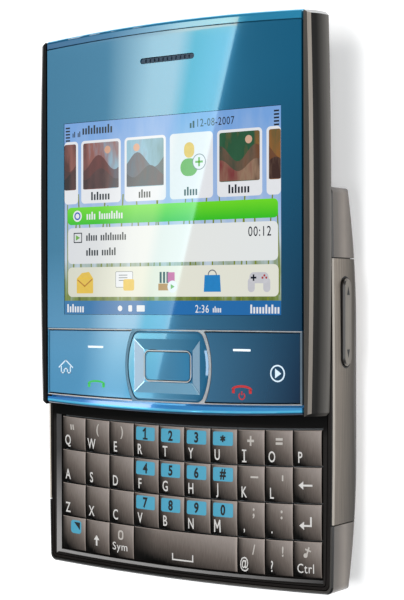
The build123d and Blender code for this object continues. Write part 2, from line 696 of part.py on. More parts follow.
def keyboard():
    """All keys by node name. The space bar takes the place of four keys."""
    keys = {}
    for row, names in enumerate(ROW_NAMES):
        column = 0
        for name in names:
            columns = SPACE_COLUMNS if name == "space" else 1
            keys["key_" + name] = key_cap(row, column, columns)
            column += columns
    return keys


def key_field(side_margin, top_margin, foot_margin):
    """Outline of the whole key field, grown by a margin on each side."""
    high, low = KEY_FIELD_TOP + top_margin, KEY_FIELD_FOOT - foot_margin
    return arched_face(KEY_HALF_FIELD + side_margin, low, low - ROW_ARCH, high, high - ROW_ARCH)


def key_mat():
    """Silicone mat under the keys, with one dome under each key and three under the space bar."""
    outline = key_field(MAT_MARGIN, MAT_MARGIN, MAT_MARGIN) & base_outline(BAY_INSET + SEAM)
    sheet = prism(outline.face(), MAT_TOP - MAT_THICKNESS, MAT_TOP)
    domes = []
    for row in range(KEY_ROWS):
        for column in range(KEY_COLUMNS):
            if row == KEY_ROWS - 1 and column == SPACE_FIRST_COLUMN + 1:
                continue
            x = -KEY_HALF_FIELD + (column + 0.5) * COLUMN_PITCH
            y = KEY_FIELD_TOP - (row + 0.5) * ROW_PITCH - row_drop(x)
            dome = extrude(RegularPolygon(DOME_RADIUS, DOME_SIDES), amount=DOME_HEIGHT)
            domes.append(Pos(x, y, MAT_TOP) * dome)
    return sheet + domes


def keyboard_deck():
    """Deck plate: bevelled recess for the keys, grooves for the slide rails, ribbed underside."""
    deck = prism(base_outline(DECK_INSET + DECK_SEAM), DECK_FOOT + FIT, DECK_TOP)
    gap = RECESS_WALL_GAP
    deck -= prism(key_field(gap, gap, gap), DECK_FOOT, DECK_TOP)
    rim_foot = Pos(0, 0, DECK_TOP - BEVEL_DEPTH) * key_field(gap, gap, gap)
    rim_top = Pos(0, 0, DECK_TOP) * key_field(gap + BEVEL_SIDE, gap + FIT, gap + BEVEL_FOOT)
    deck -= loft([rim_foot, rim_top], ruled=True)
    for x in (-RAIL_X, RAIL_X):
        half_foot = RAIL_FOOT_WIDTH / 2 + FIT
        low = (x - half_foot, RAIL_LOW_Y - FIT, DECK_TOP - RAIL_FOOT_THICKNESS - FIT)
        deck -= box_between(low, (x + half_foot, RAIL_HIGH_Y + FIT, DECK_TOP))
    pocket_half = RAIL_X - RAIL_FOOT_WIDTH
    ceiling = DECK_TOP - DECK_THICKNESS / 2
    bays = 3
    bay_width = (2 * pocket_half - (bays - 1) * CHASSIS_WALL) / bays
    for bay in range(bays):
        left = -pocket_half + bay * (bay_width + CHASSIS_WALL)
        deck -= box_between((left, RAIL_LOW_Y, DECK_FOOT), (left + bay_width, RAIL_HIGH_Y, ceiling))
    return deck


# ---------------------------------------------------------------- volume rocker
def volume_rocker():
    """Long round-ended rocker with a pivot ridge on its back, proud of the right side."""
    inner = HALF_WIDTH - ROCKER_DEPTH
    bar = rounded_bar(ROCKER_LENGTH, ROCKER_HEIGHT, ROCKER_DEPTH + ROCKER_PROUD)
    bar = Pos(inner, ROCKER_Y, ROCKER_Z) * bar
    outer = bar.edges().filter_by(lambda e: e.center().X > HALF_WIDTH)
    bar = chamfer(outer, ROCKER_EDGE_BEVEL)
    ridge = Pos(inner, ROCKER_Y, ROCKER_Z) * Cylinder(ROCKER_PIVOT_RADIUS, ROCKER_HEIGHT / 2)
    return bar + ridge


# ---------------------------------------------------------------- slide mechanism
def slide_rail(x):
    """One steel rail: a foot let into the deck, a web and a head that runs in the channel."""
    length = RAIL_HIGH_Y - RAIL_LOW_Y
    middle = (RAIL_HIGH_Y + RAIL_LOW_Y) / 2
    lip_top = SCREEN_FOOT + CHANNEL_LIP
    head_low = lip_top + RUN_FIT
    pieces = [
        (RAIL_FOOT_WIDTH, DECK_TOP - RAIL_FOOT_THICKNESS, DECK_TOP),
        (RAIL_WEB, DECK_TOP - FIT, head_low + FIT),
        (RAIL_HEAD_WIDTH, head_low, head_low + RAIL_HEAD_THICKNESS),
    ]
    foot, web, head = [
        Pos(x, middle, (low + high) / 2) * Box(width, length, high - low) for width, low, high in pieces
    ]
    return foot + web + head


def channel(x):
    """Space of one slide channel in the back plate, closed at both ends as a stop."""
    low, high = RAIL_LOW_Y - SLIDE_TRAVEL - SEAM, RAIL_HIGH_Y + SEAM
    lip_top = SCREEN_FOOT + CHANNEL_LIP
    roof = lip_top + RAIL_HEAD_THICKNESS + 2 * RUN_FIT
    half_web, half_head = RAIL_WEB / 2 + RUN_FIT, RAIL_HEAD_WIDTH / 2 + RUN_FIT
    slot = box_between((x - half_web, low, SCREEN_FOOT - FIT), (x + half_web, high, lip_top + FIT))
    return slot + box_between((x - half_head, low, lip_top), (x + half_head, high, roof))


def screen_face(half_width, inset):
    """Plan view of the screen half between its side rails."""
    low_side, low_middle = BOTTOM_EDGE_SIDE + inset, BOTTOM_EDGE_MIDDLE + inset
    return arched_face(half_width, low_side, low_middle, TOP_EDGE_SIDE - inset, TOP_EDGE_MIDDLE - inset)


def screen_back():
    """Back plate of the screen half, with the two channels that ride on the slide rails."""
    plate = prism(screen_face(HOUSING_HALF, SEAM), SCREEN_FOOT, SCREEN_BACK_TOP)
    corners = plate.edges().filter_by(Axis.Z)
    plate = fillet(corners, PLATE_CORNER_RADIUS)
    return plate - [channel(x) for x in (-RAIL_X, RAIL_X)]


# ---------------------------------------------------------------- screen half
def grip_section():
    """Front view of the right rail: bowed outer face leaning in towards a narrow polished front corner."""
    foot, front = SCREEN_FOOT, PHONE_THICKNESS - GRIP_FRONT_STEP
    shoulder = front - GRIP_LINE_HEIGHT
    waist = foot + GRIP_WAIST_SHARE * (shoulder - foot)
    start = GRIP_INNER_HALF - 2 * GRIP_BULGE
    return make_face(
        [
            Line((start, foot), (GRIP_BACK_HALF, foot)),
            ThreePointArc((GRIP_BACK_HALF, foot), (GRIP_WAIST_HALF, waist), (GRIP_FRONT_HALF, shoulder)),
            Line((GRIP_FRONT_HALF, shoulder), (GRIP_FRONT_HALF - GRIP_LINE_WIDTH, front)),
            Line((GRIP_FRONT_HALF - GRIP_LINE_WIDTH, front), (start, front)),
            Line((start, front), (start, foot)),
        ]
    )


def side_rails():
    """Two graphite rails: the section turned about a far upright axis, so that each bulges outwards."""
    half_length = GRIP_LENGTH / 2
    radius = (half_length**2 + GRIP_BULGE**2) / (2 * GRIP_BULGE)
    turn = math.degrees(math.asin((half_length + GRIP_BULGE) / (radius - GRIP_BACK_HALF)))
    axis = Axis((GRIP_BACK_HALF - radius, 0, 0), (0, 0, 1))
    half = revolve(Plane.XZ * grip_section(), axis=axis, revolution_arc=turn)
    bowed = half + mirror(half, about=Plane.XZ)
    rail = bowed & box_between((GRIP_INNER_HALF, -half_length, 0), (BASE_WIDTH, half_length, BASE_WIDTH))
    corners = rail.edges().filter_by(
        lambda e: abs(e.center().Y) > half_length - FIT and e.center().X > GRIP_FRONT_HALF - GRIP_BULGE
        and abs((e % 0.5).Z) > 0.7 and e.length > 1
    )
    return both_sides(chamfer(corners, GRIP_END_CHAMFER))


def display_pocket(margin, low, high):
    """Space of the display module below the window."""
    half = DISPLAY_WIDTH / 2 + MODULE_MARGIN + margin
    half_length = DISPLAY_LENGTH / 2 + MODULE_MARGIN + margin
    return box_between((-half, DISPLAY_MID_Y - half_length, low), (half, DISPLAY_MID_Y + half_length, high))


def receiver_pocket(margin, low, high):
    """Space of the earpiece capsule below the window."""
    half_length, half_width = RECEIVER_LENGTH / 2 + margin, RECEIVER_WIDTH / 2 + margin
    low_corner = (-half_length, EARPIECE_Y - half_width, low)
    return box_between(low_corner, (half_length, EARPIECE_Y + half_width, high))


def screen_housing():
    """Blue frame of the screen half: seat for the window, cap at the top and strip at the bottom."""
    body = prism(screen_face(HOUSING_HALF, 0), HOUSING_FOOT, PHONE_THICKNESS)
    ends = body.edges().filter_by(
        lambda e: e.center().Z > PHONE_THICKNESS - FIT and abs(e.center().Y) > GRIP_LENGTH / 2 - 2 * END_CROWN
    )
    body = fillet(ends, CAP_EDGE_RADIUS)
    seat = arched_face(
        HOUSING_HALF + FIT,
        STRIP_TOP_SIDE - FRAME_LINE - SEAM,
        STRIP_TOP_MIDDLE - FRAME_LINE - SEAM,
        WINDOW_TOP_SIDE + SEAM,
        WINDOW_TOP_MIDDLE + SEAM,
    )
    body -= prism(seat, SEAT_TOP, PHONE_THICKNESS)
    rebate = box_between((WINDOW_HALF, -BASE_LENGTH, SEAT_TOP), (BASE_WIDTH, BASE_LENGTH, PHONE_THICKNESS))
    body -= both_sides(rebate)
    return body - [display_pocket(FIT, 0, PHONE_THICKNESS), receiver_pocket(FIT, 0, PHONE_THICKNESS)]


def display_glass(margin, low, high):
    """Space of the display's cover glass, which fills the opening of the window plate."""
    half = DISPLAY_WIDTH / 2 + margin
    low_corner = (-half, DISPLAY_LOW_Y - margin, low)
    return box_between(low_corner, (half, DISPLAY_LOW_Y + DISPLAY_LENGTH + margin, high))


def display_module():
    """Display module with its raised cover glass."""
    module = display_pocket(0, HOUSING_FOOT, SEAT_TOP)
    module = fillet(module.edges().filter_by(Axis.Z), PLATE_CORNER_RADIUS)
    return module + display_glass(0, SEAT_TOP - FIT, PHONE_THICKNESS - GLASS_RECESS)


def earpiece_slot(margin, low, high):
    """Round-ended slot of the earpiece."""
    face = Pos(0, EARPIECE_Y) * SlotOverall(EARPIECE_LENGTH + 2 * margin, EARPIECE_HEIGHT + 2 * margin)
    return prism(face, low, high)


def fascia():
    """Glossy window plate with openings for the display glass and the earpiece."""
    foot = DIVIDER_Y + FRAME_LINE / 2 + FIT
    outline = arched_face(WINDOW_HALF, foot, foot, WINDOW_TOP_SIDE, WINDOW_TOP_MIDDLE)
    plate = prism(outline, SEAT_TOP + FIT, PHONE_THICKNESS)
    plate -= display_glass(FIT / 2, 0, 2 * PHONE_THICKNESS)
    return plate - earpiece_slot(0, 0, 2 * PHONE_THICKNESS)


def earpiece():
    """Earpiece: slotted grille in the window plate and the capsule under it."""
    grille = earpiece_slot(-FIT, SEAT_TOP + FIT, PHONE_THICKNESS - EARPIECE_RECESS)
    slots = int(EARPIECE_LENGTH / GRILLE_PITCH) - 1
    for i in range(slots):
        x = (i - (slots - 1) / 2) * GRILLE_PITCH
        grille -= Pos(x, EARPIECE_Y, PHONE_THICKNESS - EARPIECE_RECESS) * Box(*GRILLE_SLOT)
    capsule = receiver_pocket(0, HOUSING_FOOT, SEAT_TOP)
    return [grille, fillet(capsule.edges().filter_by(Axis.Z), PLATE_CORNER_RADIUS)]


# ---------------------------------------------------------------- front keys
def nav_outline(margin):
    """Barrel outline of the navigation ring, grown by margin."""
    face = crowned_face(NAV_WIDTH / 2 + margin, NAV_HEIGHT / 2 + margin, NAV_BULGE, NAV_CROWN)
    return Pos(0, NAV_Y) * fillet(face.vertices(), NAV_CORNER + margin)


def select_outline(margin):
    """Rounded outline of the select key, grown by margin."""
    face = RectangleRounded(SELECT_WIDTH + 2 * margin, SELECT_HEIGHT + 2 * margin, SELECT_CORNER + margin)
    return Pos(0, NAV_Y) * face


def key_zone(inset):
    """Outline of the front keys' zone between the divider and the bottom strip."""
    high = DIVIDER_Y + FRAME_LINE / 2 - inset
    return arched_face(
        WINDOW_HALF - inset,
        STRIP_TOP_SIDE - FRAME_LINE / 2 + inset,
        STRIP_TOP_MIDDLE - FRAME_LINE / 2 + inset,
        high,
        high,
    )


def plate_faces(margin):
    """Outlines of the left and right key plates, each grown by margin inside its opening."""
    zone = key_zone(FRAME_LINE + FIT - margin)
    reach = NAV_WIDTH / 2 - 0.75 * NAV_BULGE
    hole = nav_outline(FIT + NAV_SURROUND + FIT - margin)
    left = zone - hole - Pos(WINDOW_HALF - reach, NAV_Y) * Rectangle(2 * WINDOW_HALF, 2 * NAV_HEIGHT)
    right = zone - hole - Pos(reach - WINDOW_HALF, NAV_Y) * Rectangle(2 * WINDOW_HALF, 2 * NAV_HEIGHT)
    return [max(side.faces(), key=lambda f: f.area) for side in (left, right)]


def key_plate(side):
    """Key plate with three keys, left (0) or right (1) of the navigation ring."""
    foot = SEAT_TOP + PLATE_LIFT
    return prism(plate_faces(0)[side], foot, PHONE_THICKNESS - PLATE_STEP)


def key_frame():
    """Chrome frame round the front keys, with the surround of the navigation ring."""
    low, high = SEAT_TOP + FIT, PHONE_THICKNESS - FRAME_STEP
    frame = prism(key_zone(0), low, high)
    for face in plate_faces(FIT):
        frame -= prism(face, low, high)
    return frame - prism(nav_outline(FIT), low, high)


def nav_ring():
    """Four-way ring: rounded outer edge and four facets that fall towards the select key."""
    top = PHONE_THICKNESS + NAV_PROUD
    ring = prism(nav_outline(0), SEAT_TOP + PLATE_LIFT, top)
    outer = ring.edges().filter_by(lambda e: e.center().Z > top - FIT)
    ring = chamfer(outer, NAV_EDGE_BEVEL)
    wide = Rectangle(SELECT_WIDTH + 2 * FACET_REACH, SELECT_HEIGHT + 2 * FACET_REACH)
    narrow = Rectangle(SELECT_WIDTH + 2 * FIT, SELECT_HEIGHT + 2 * FIT)
    dish = loft([Pos(0, NAV_Y, top - FACET_DROP) * narrow, Pos(0, NAV_Y, top) * wide], ruled=True)
    return ring - dish - prism(select_outline(FIT), 0, top)


def select_key():
    """Select key with a raised rim round a shallow dish."""
    top = PHONE_THICKNESS + NAV_PROUD - FACET_DROP / 2
    body = prism(select_outline(0), SEAT_TOP + PLATE_LIFT, top)
    return body - prism(select_outline(-SELECT_RIM), top - SELECT_DISH, top)


# ---------------------------------------------------------------- output
def solids_of(shape):
    """All solids of a shape or of a list of shapes."""
    shapes = shape if isinstance(shape, (list, tuple)) else [shape]
    return [solid for item in shapes for solid in item.solids()]


def write(name, shape, moved_by=0.0):
    """Write one node, moved along the phone by moved_by."""
    solids = solids_of(shape)
    body = Compound(children=solids) if len(solids) > 1 else solids[0]
    export_step(Pos(0, moved_by, 0) * body, f"parts/{name}.step")


def base_nodes():
    """Every node of the keyboard half by name."""
    skin = base_skin()
    nodes = {
        "base_chassis": base_chassis(),
        "keyboard_deck": keyboard_deck(),
        "battery_cover": battery_cover(skin),
        "side_bands": side_bands(skin),
        "end_caps": end_caps(skin),
        "battery": battery(),
        "main_board": main_board(),
        "key_mat": key_mat(),
        "camera": camera(),
        "screws": screws(),
        "slide_rails": [slide_rail(x) for x in (-RAIL_X, RAIL_X)],
        "volume_rocker": volume_rocker(),
    }
    nodes.update(keyboard())
    return nodes


def screen_nodes():
    """Every node of the screen half by name."""
    return {
        "screen_back": screen_back(),
        "side_rails": side_rails(),
        "screen_housing": screen_housing(),
        "display_module": display_module(),
        "fascia": fascia(),
        "earpiece": earpiece(),
        "key_frame": key_frame(),
        "left_key_plate": key_plate(0),
        "right_key_plate": key_plate(1),
        "nav_ring": nav_ring(),
        "select_key": select_key(),
    }


os.makedirs("parts", exist_ok=True)
for node_name, node_shape in base_nodes().items():
    write(node_name, node_shape)
for node_name, node_shape in screen_nodes().items():
    write(node_name, node_shape, SLIDE_TRAVEL)
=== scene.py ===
"""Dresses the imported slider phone: finishes for every solid, pillow keys, legends, icons and a lit display page.

Lengths in the classes are millimetres in the row frame; meshes are written in metres. The phone lies on its
back with +Z out of the screen and +Y towards its top end, and its screen half is slid open.
"""

from __future__ import annotations

import logging
import math
from dataclasses import dataclass, field
from enum import Enum

import bpy
import numpy as np
from mathutils import Matrix, Vector


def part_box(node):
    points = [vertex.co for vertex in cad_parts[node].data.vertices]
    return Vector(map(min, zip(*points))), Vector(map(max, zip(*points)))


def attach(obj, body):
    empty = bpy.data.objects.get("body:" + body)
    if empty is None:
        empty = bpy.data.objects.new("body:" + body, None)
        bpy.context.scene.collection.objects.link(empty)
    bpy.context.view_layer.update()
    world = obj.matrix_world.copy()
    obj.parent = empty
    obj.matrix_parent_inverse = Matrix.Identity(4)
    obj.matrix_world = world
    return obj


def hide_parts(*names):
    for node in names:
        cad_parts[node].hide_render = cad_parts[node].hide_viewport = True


LOG = logging.getLogger("slider_phone")
MM = 0.001  # metres
TRAVEL = 31.5  # how far the screen half is slid open
PRINT_STEP = 0.026  # thickness of one printed layer on a key
PAGE_STEP = 0.008  # thickness of one layer of the display page
DARK_SURROUND = 0.12  # brightness of the surroundings, which bare metal mirrors
COAT_ROUGHNESS = 0.02
PAGE_INDEX, PAGE_GLOW = 1.7, 0.85  # refraction of the display's cover, strength of the light behind it
THIN, THICK = 0.3, 0.7  # values of the noise that a mottle runs between
FLAT_FROM, BEVEL_FROM = 0.9, 0.45  # shares of the normal from which a surface counts as flat, or as a bevel
Colour = tuple[float, float, float]
Point = tuple[float, float]
Shares = tuple[Point, ...]
Mesh = tuple[np.ndarray, list]
Socket = bpy.types.NodeSocket
Material = bpy.types.Material
WHITE: Colour = (1.0, 1.0, 1.0)


def srgb(red: int, green: int, blue: int) -> Colour:
    """Linear colour of an sRGB triple from 0 to 255."""
    return tuple(float((c / 255.0) ** 2.2) for c in (red, green, blue))


# ------------------------------------------------------------------ meshes from whole arrays


def grid_quads(rows: int, columns: int, wrap_rows: bool = False, wrap_columns: bool = False) -> np.ndarray:
    """Corner numbers of the quads of a grid of points, row by row.

    Args:
        rows: points down the grid.
        columns: points across it.
        wrap_rows: whether the last row joins the first.
        wrap_columns: whether the last column joins the first.

    Returns:
        One row of four numbers for each quad: (i, j), (i, j+1), (i+1, j+1), (i+1, j).
    """
    i = np.arange(rows if wrap_rows else rows - 1)[:, None]
    j = np.arange(columns if wrap_columns else columns - 1)[None, :]
    i_next, j_next = (i + 1) % rows, (j + 1) % columns
    corners = (i * columns + j, i * columns + j_next, i_next * columns + j_next, i_next * columns + j)
    return np.stack([np.broadcast_to(c, (i.size, j.size)) for c in corners], axis=-1).reshape(-1, 4)


def box_mm(node: str) -> tuple[Vector, Vector]:
    """Lowest and highest corner of a CAD node at rest, in millimetres."""
    low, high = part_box(node)
    return low / MM, high / MM


def vertex_array(mesh: bpy.types.Mesh) -> np.ndarray:
    """Places of a mesh's vertices, one row for each."""
    values = np.zeros(len(mesh.vertices) * 3)
    mesh.vertices.foreach_get("co", values)
    return values.reshape(-1, 3)


def add_piece(name: str, points: np.ndarray, faces: list, finish: Material, body: str) -> bpy.types.Object:
    """Puts a mesh into the scene as one piece of a CAD body.

    Args:
        name: the piece's name.
        points: its vertices, in millimetres.
        faces: corner numbers of each face, outwards by the right-hand rule.
        finish: its material.
        body: the CAD body that it rides on.

    Returns:
        The new object, which sits at the origin with its place in its mesh.
    """
    mesh = bpy.data.meshes.new(name)
    mesh.from_pydata((np.asarray(points, float) * MM).tolist(), [], [list(map(int, f)) for f in faces])
    mesh.validate()
    mesh.materials.append(finish)
    piece = bpy.data.objects.new(name, mesh)
    bpy.context.scene.collection.objects.link(piece)
    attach(piece, body)
    LOG.info("piece %s on %s: %d faces", name, body, len(mesh.polygons))
    return piece


def smooth(piece: bpy.types.Object, sharp: float) -> None:
    """Shades a piece smoothly but for edges that turn more than the given degrees."""
    piece.data.polygons.foreach_set("use_smooth", [True] * len(piece.data.polygons))
    piece.data.set_sharp_from_angle(angle=math.radians(sharp))


def corner_loop(width: float, height: float, radius: float, steps: int = 6) -> np.ndarray:
    """Outline of a rounded rectangle about the origin, anticlockwise.

    Each corner is a quarter circle: centre plus radius times (cos a, sin a), with a over its own quarter turn.

    Args:
        width: its size along X.
        height: its size along Y.
        radius: radius of its corners, at most half of the smaller size.
        steps: points in each corner.

    Returns:
        Its points, one row each.
    """
    radius = min(radius, width / 2 - 1e-6, height / 2 - 1e-6)
    quarter = np.linspace(0, math.pi / 2, steps)
    turns = np.concatenate([quarter + k * math.pi / 2 for k in range(4)])
    sign_x = np.repeat([1, -1, -1, 1], steps)
    sign_y = np.repeat([1, 1, -1, -1], steps)
    x = sign_x * (width / 2 - radius) + radius * np.cos(turns)
    y = sign_y * (height / 2 - radius) + radius * np.sin(turns)
    return np.stack([x, y], axis=1)


def circle_loop(radius: float, steps: int = 28) -> np.ndarray:
    """Outline of a circle about the origin: radius times (cos a, sin a)."""
    turns = np.arange(steps) * 2 * math.pi / steps
    return radius * np.stack([np.cos(turns), np.sin(turns)], axis=1)


def slab(loop: np.ndarray, low: float, high: float) -> Mesh:
    """Closed flat solid: an outline at two heights, joined by a wall of quads.

    Args:
        loop: outline, anticlockwise seen from above.
        low: height of its underside.
        high: height of its top.

    Returns:
        Its points and faces.
    """
    count = len(loop)
    points = np.concatenate([np.c_[loop, np.full(count, z)] for z in (low, high)])
    faces = grid_quads(2, count, wrap_columns=True).tolist()
    faces.append(list(range(count, 2 * count)))
    faces.append(list(range(count - 1, -1, -1)))
    return points, faces


def ring(outer: np.ndarray, inner: np.ndarray, low: float, high: float) -> Mesh:
    """Closed flat ring between two outlines with the same number of points.

    The four loops inner-low, outer-low, outer-high, inner-high wrap round into one tube of quads.

    Args:
        outer: outline of its outside, anticlockwise.
        inner: outline of its opening, anticlockwise.
        low: height of its underside.
        high: height of its top.

    Returns:
        Its points and faces.
    """
    loops = [np.c_[inner, np.full(len(inner), low)], np.c_[outer, np.full(len(outer), low)]]
    loops += [np.c_[outer, np.full(len(outer), high)], np.c_[inner, np.full(len(inner), high)]]
    return np.concatenate(loops), grid_quads(4, len(outer), wrap_rows=True, wrap_columns=True).tolist()


def dense(loop: np.ndarray, step: float) -> np.ndarray:
    """A closed outline with points added, so that none of its straight stretches is longer than step.

    Args:
        loop: the outline.
        step: the longest stretch that is left.

    Returns:
        The outline with its new points, evenly placed on each stretch.
    """
    loop = np.asarray(loop, float)
    parts = []
    for start, end in zip(loop, np.roll(loop, -1, axis=0)):
        count = max(int(math.ceil(np.linalg.norm(end - start) / step)), 1)
        parts.append(start + (end - start) * (np.arange(count) / count)[:, None])
    return np.concatenate(parts)


def cushion(loop: np.ndarray, rings: int = 5, step: float = 0.35) -> Mesh:
    """Closed flat solid from height 0 to 1 with points all over it, so that it can follow a curved surface.

    Each sheet is the outline shrunk towards its middle in equal steps down to a single point.

    Args:
        loop: the outline, anticlockwise.
        rings: how many shrunk outlines a sheet has.
        step: the longest stretch of the outline.

    Returns:
        Its points and faces.
    """
    loop = dense(loop, step)
    count = len(loop)
    middle = loop.mean(0)
    shares = np.linspace(1, 0, rings, endpoint=False)
    sheet = np.concatenate([middle + (loop - middle) * k for k in shares] + [middle[None, :]])
    top = grid_quads(rings, count, wrap_columns=True)
    tip = rings * count
    last = np.arange(count) + (rings - 1) * count
    fan = np.stack([last, np.roll(last, -1), np.full(count, tip)], axis=1)
    size = tip + 1
    faces = top.tolist() + fan.tolist()
    faces += (top[:, ::-1] + size).tolist() + (fan[:, ::-1] + size).tolist()
    edge = np.arange(count)
    after = np.roll(edge, -1)
    faces += np.stack([edge + size, after + size, after, edge], axis=1).tolist()
    points = np.concatenate([np.c_[sheet, np.ones(size)], np.c_[sheet, np.zeros(size)]])
    return points, faces


def flat(loop: np.ndarray) -> Mesh:
    """Closed flat solid of an outline, from height 0 to 1."""
    return slab(np.asarray(loop, float), 0.0, 1.0)


def strokes(path: np.ndarray, width: float) -> list:
    """A broken line as one bar for each stretch, each half a width longer than the stretch at both ends.

    Args:
        path: corners of the line, one row each.
        width: how wide the bars are.

    Returns:
        One closed flat mesh for each stretch.
    """
    parts = []
    for start, end in zip(path[:-1], path[1:]):
        run = (end - start) / np.linalg.norm(end - start) * width / 2
        parts.append(flat(stroke([start - run, end + run], width)))
    return parts


def stroke(path: np.ndarray, width: float) -> np.ndarray:
    """Outline of a line of even width along an open path: the path moved half the width to each side.

    Args:
        path: points of the middle line.
        width: how wide the line is.

    Returns:
        The outline, anticlockwise.
    """
    path = np.asarray(path, float)
    run = np.gradient(path, axis=0)
    run /= np.linalg.norm(run, axis=1, keepdims=True)
    side = np.stack([-run[:, 1], run[:, 0]], axis=1) * width / 2
    return np.concatenate([path - side, (path + side)[::-1]])


def join_parts(parts: list) -> Mesh:
    """Joins several meshes into one.

    Args:
        parts: the (points, faces) pairs.

    Returns:
        One array of points and one list of faces, renumbered.
    """
    points, faces, start = [], [], 0
    for part_points, part_faces in parts:
        points.append(np.asarray(part_points, float))
        faces += [[start + c for c in f] for f in part_faces]
        start += len(part_points)
    return np.concatenate(points), faces


def moved(loop: np.ndarray, x: float, y: float) -> np.ndarray:
    """An outline moved to (x, y)."""
    return np.asarray(loop, float) + np.array([x, y])


def shifted(mesh: Mesh, x: float, y: float) -> Mesh:
    """A mesh moved by (x, y)."""
    points, faces = mesh
    return points + np.array([x, y, 0]), faces


def disc(radius: float, x: float, y: float, steps: int = 28) -> Mesh:
    """Flat disc about (x, y)."""
    return flat(moved(circle_loop(radius, steps), x, y))


def hoop(outer: float, inner: float, x: float = 0.0, y: float = 0.0) -> Mesh:
    """Flat round ring about (x, y), between two radii."""
    return shifted(ring(circle_loop(outer), circle_loop(inner), 0, 1), x, y)


CAPITAL = 0.73  # height of a capital letter, as a share of the font's size
BAR_WEIGHT = 0.11  # width of a drawn sign's bars, as a share of a capital's height
DRAWN_SIGNS = {
    "I": [[(-0.17, 0.5), (0.17, 0.5)], [(0, 0.5), (0, -0.5)], [(-0.17, -0.5), (0.17, -0.5)]],
    "1": [[(-0.22, 0.28), (0, 0.5), (0, -0.5)], [(-0.2, -0.5), (0.22, -0.5)]],
    "M": [[(-0.3, -0.5), (-0.27, 0.5), (0, -0.15), (0.27, 0.5), (0.3, -0.5)]],
    "-": [[(-0.3, 0), (0.3, 0)]],
    '"': [[(-0.16, 0.17), (-0.1, -0.17)], [(0.1, 0.17), (0.16, -0.17)]],
    "'": [[(0, 0.18), (0, -0.18)]],
    "*": [[(0, 0.24), (0, -0.24)], [(-0.2, 0.12), (0.2, -0.12)], [(-0.2, -0.12), (0.2, 0.12)]],
}


def lettering(text: str, size: float, width_share: float = 1.0, weight: float = 0.004) -> Mesh:
    """Flat letters as a closed mesh about the origin, in millimetres.

    Args:
        text: what to write.
        size: height of a capital letter.
        width_share: how narrow the letters are set.
        weight: how much the strokes are thickened.

    Returns:
        Points of shape (n, 3), centred, from height 0 to 1, and faces.
    """
    if text in DRAWN_SIGNS:
        width = (BAR_WEIGHT + 2 * weight) * size
        bars = [strokes(np.array(path, float) * size, width) for path in DRAWN_SIGNS[text]]
        return join_parts([bar for group in bars for bar in group])
    curve = bpy.data.curves.new("letters", "FONT")
    curve.body = text
    curve.extrude = 0.5  # to each side, so 1 in all
    curve.offset = weight
    curve.space_character = 1.12 if len(text) > 1 else 1.0
    curve.resolution_u = 3
    holder = bpy.data.objects.new("letters", curve)
    mesh = bpy.data.meshes.new_from_object(holder)
    points = vertex_array(mesh)
    faces = [list(p.vertices) for p in mesh.polygons]
    bpy.data.objects.remove(holder)
    bpy.data.curves.remove(curve)
    bpy.data.meshes.remove(mesh)
    points[:, :2] *= size / CAPITAL
    points[:, 0] *= width_share
    points[:, :2] -= (points[:, :2].max(0) + points[:, :2].min(0)) / 2
    points[:, 2] += 0.5
    return points, faces


# ------------------------------------------------------------------ node materials


def scaled(colour: Colour, share: float) -> Colour:
    """A colour with each channel times share."""
    return tuple(c * share for c in colour)


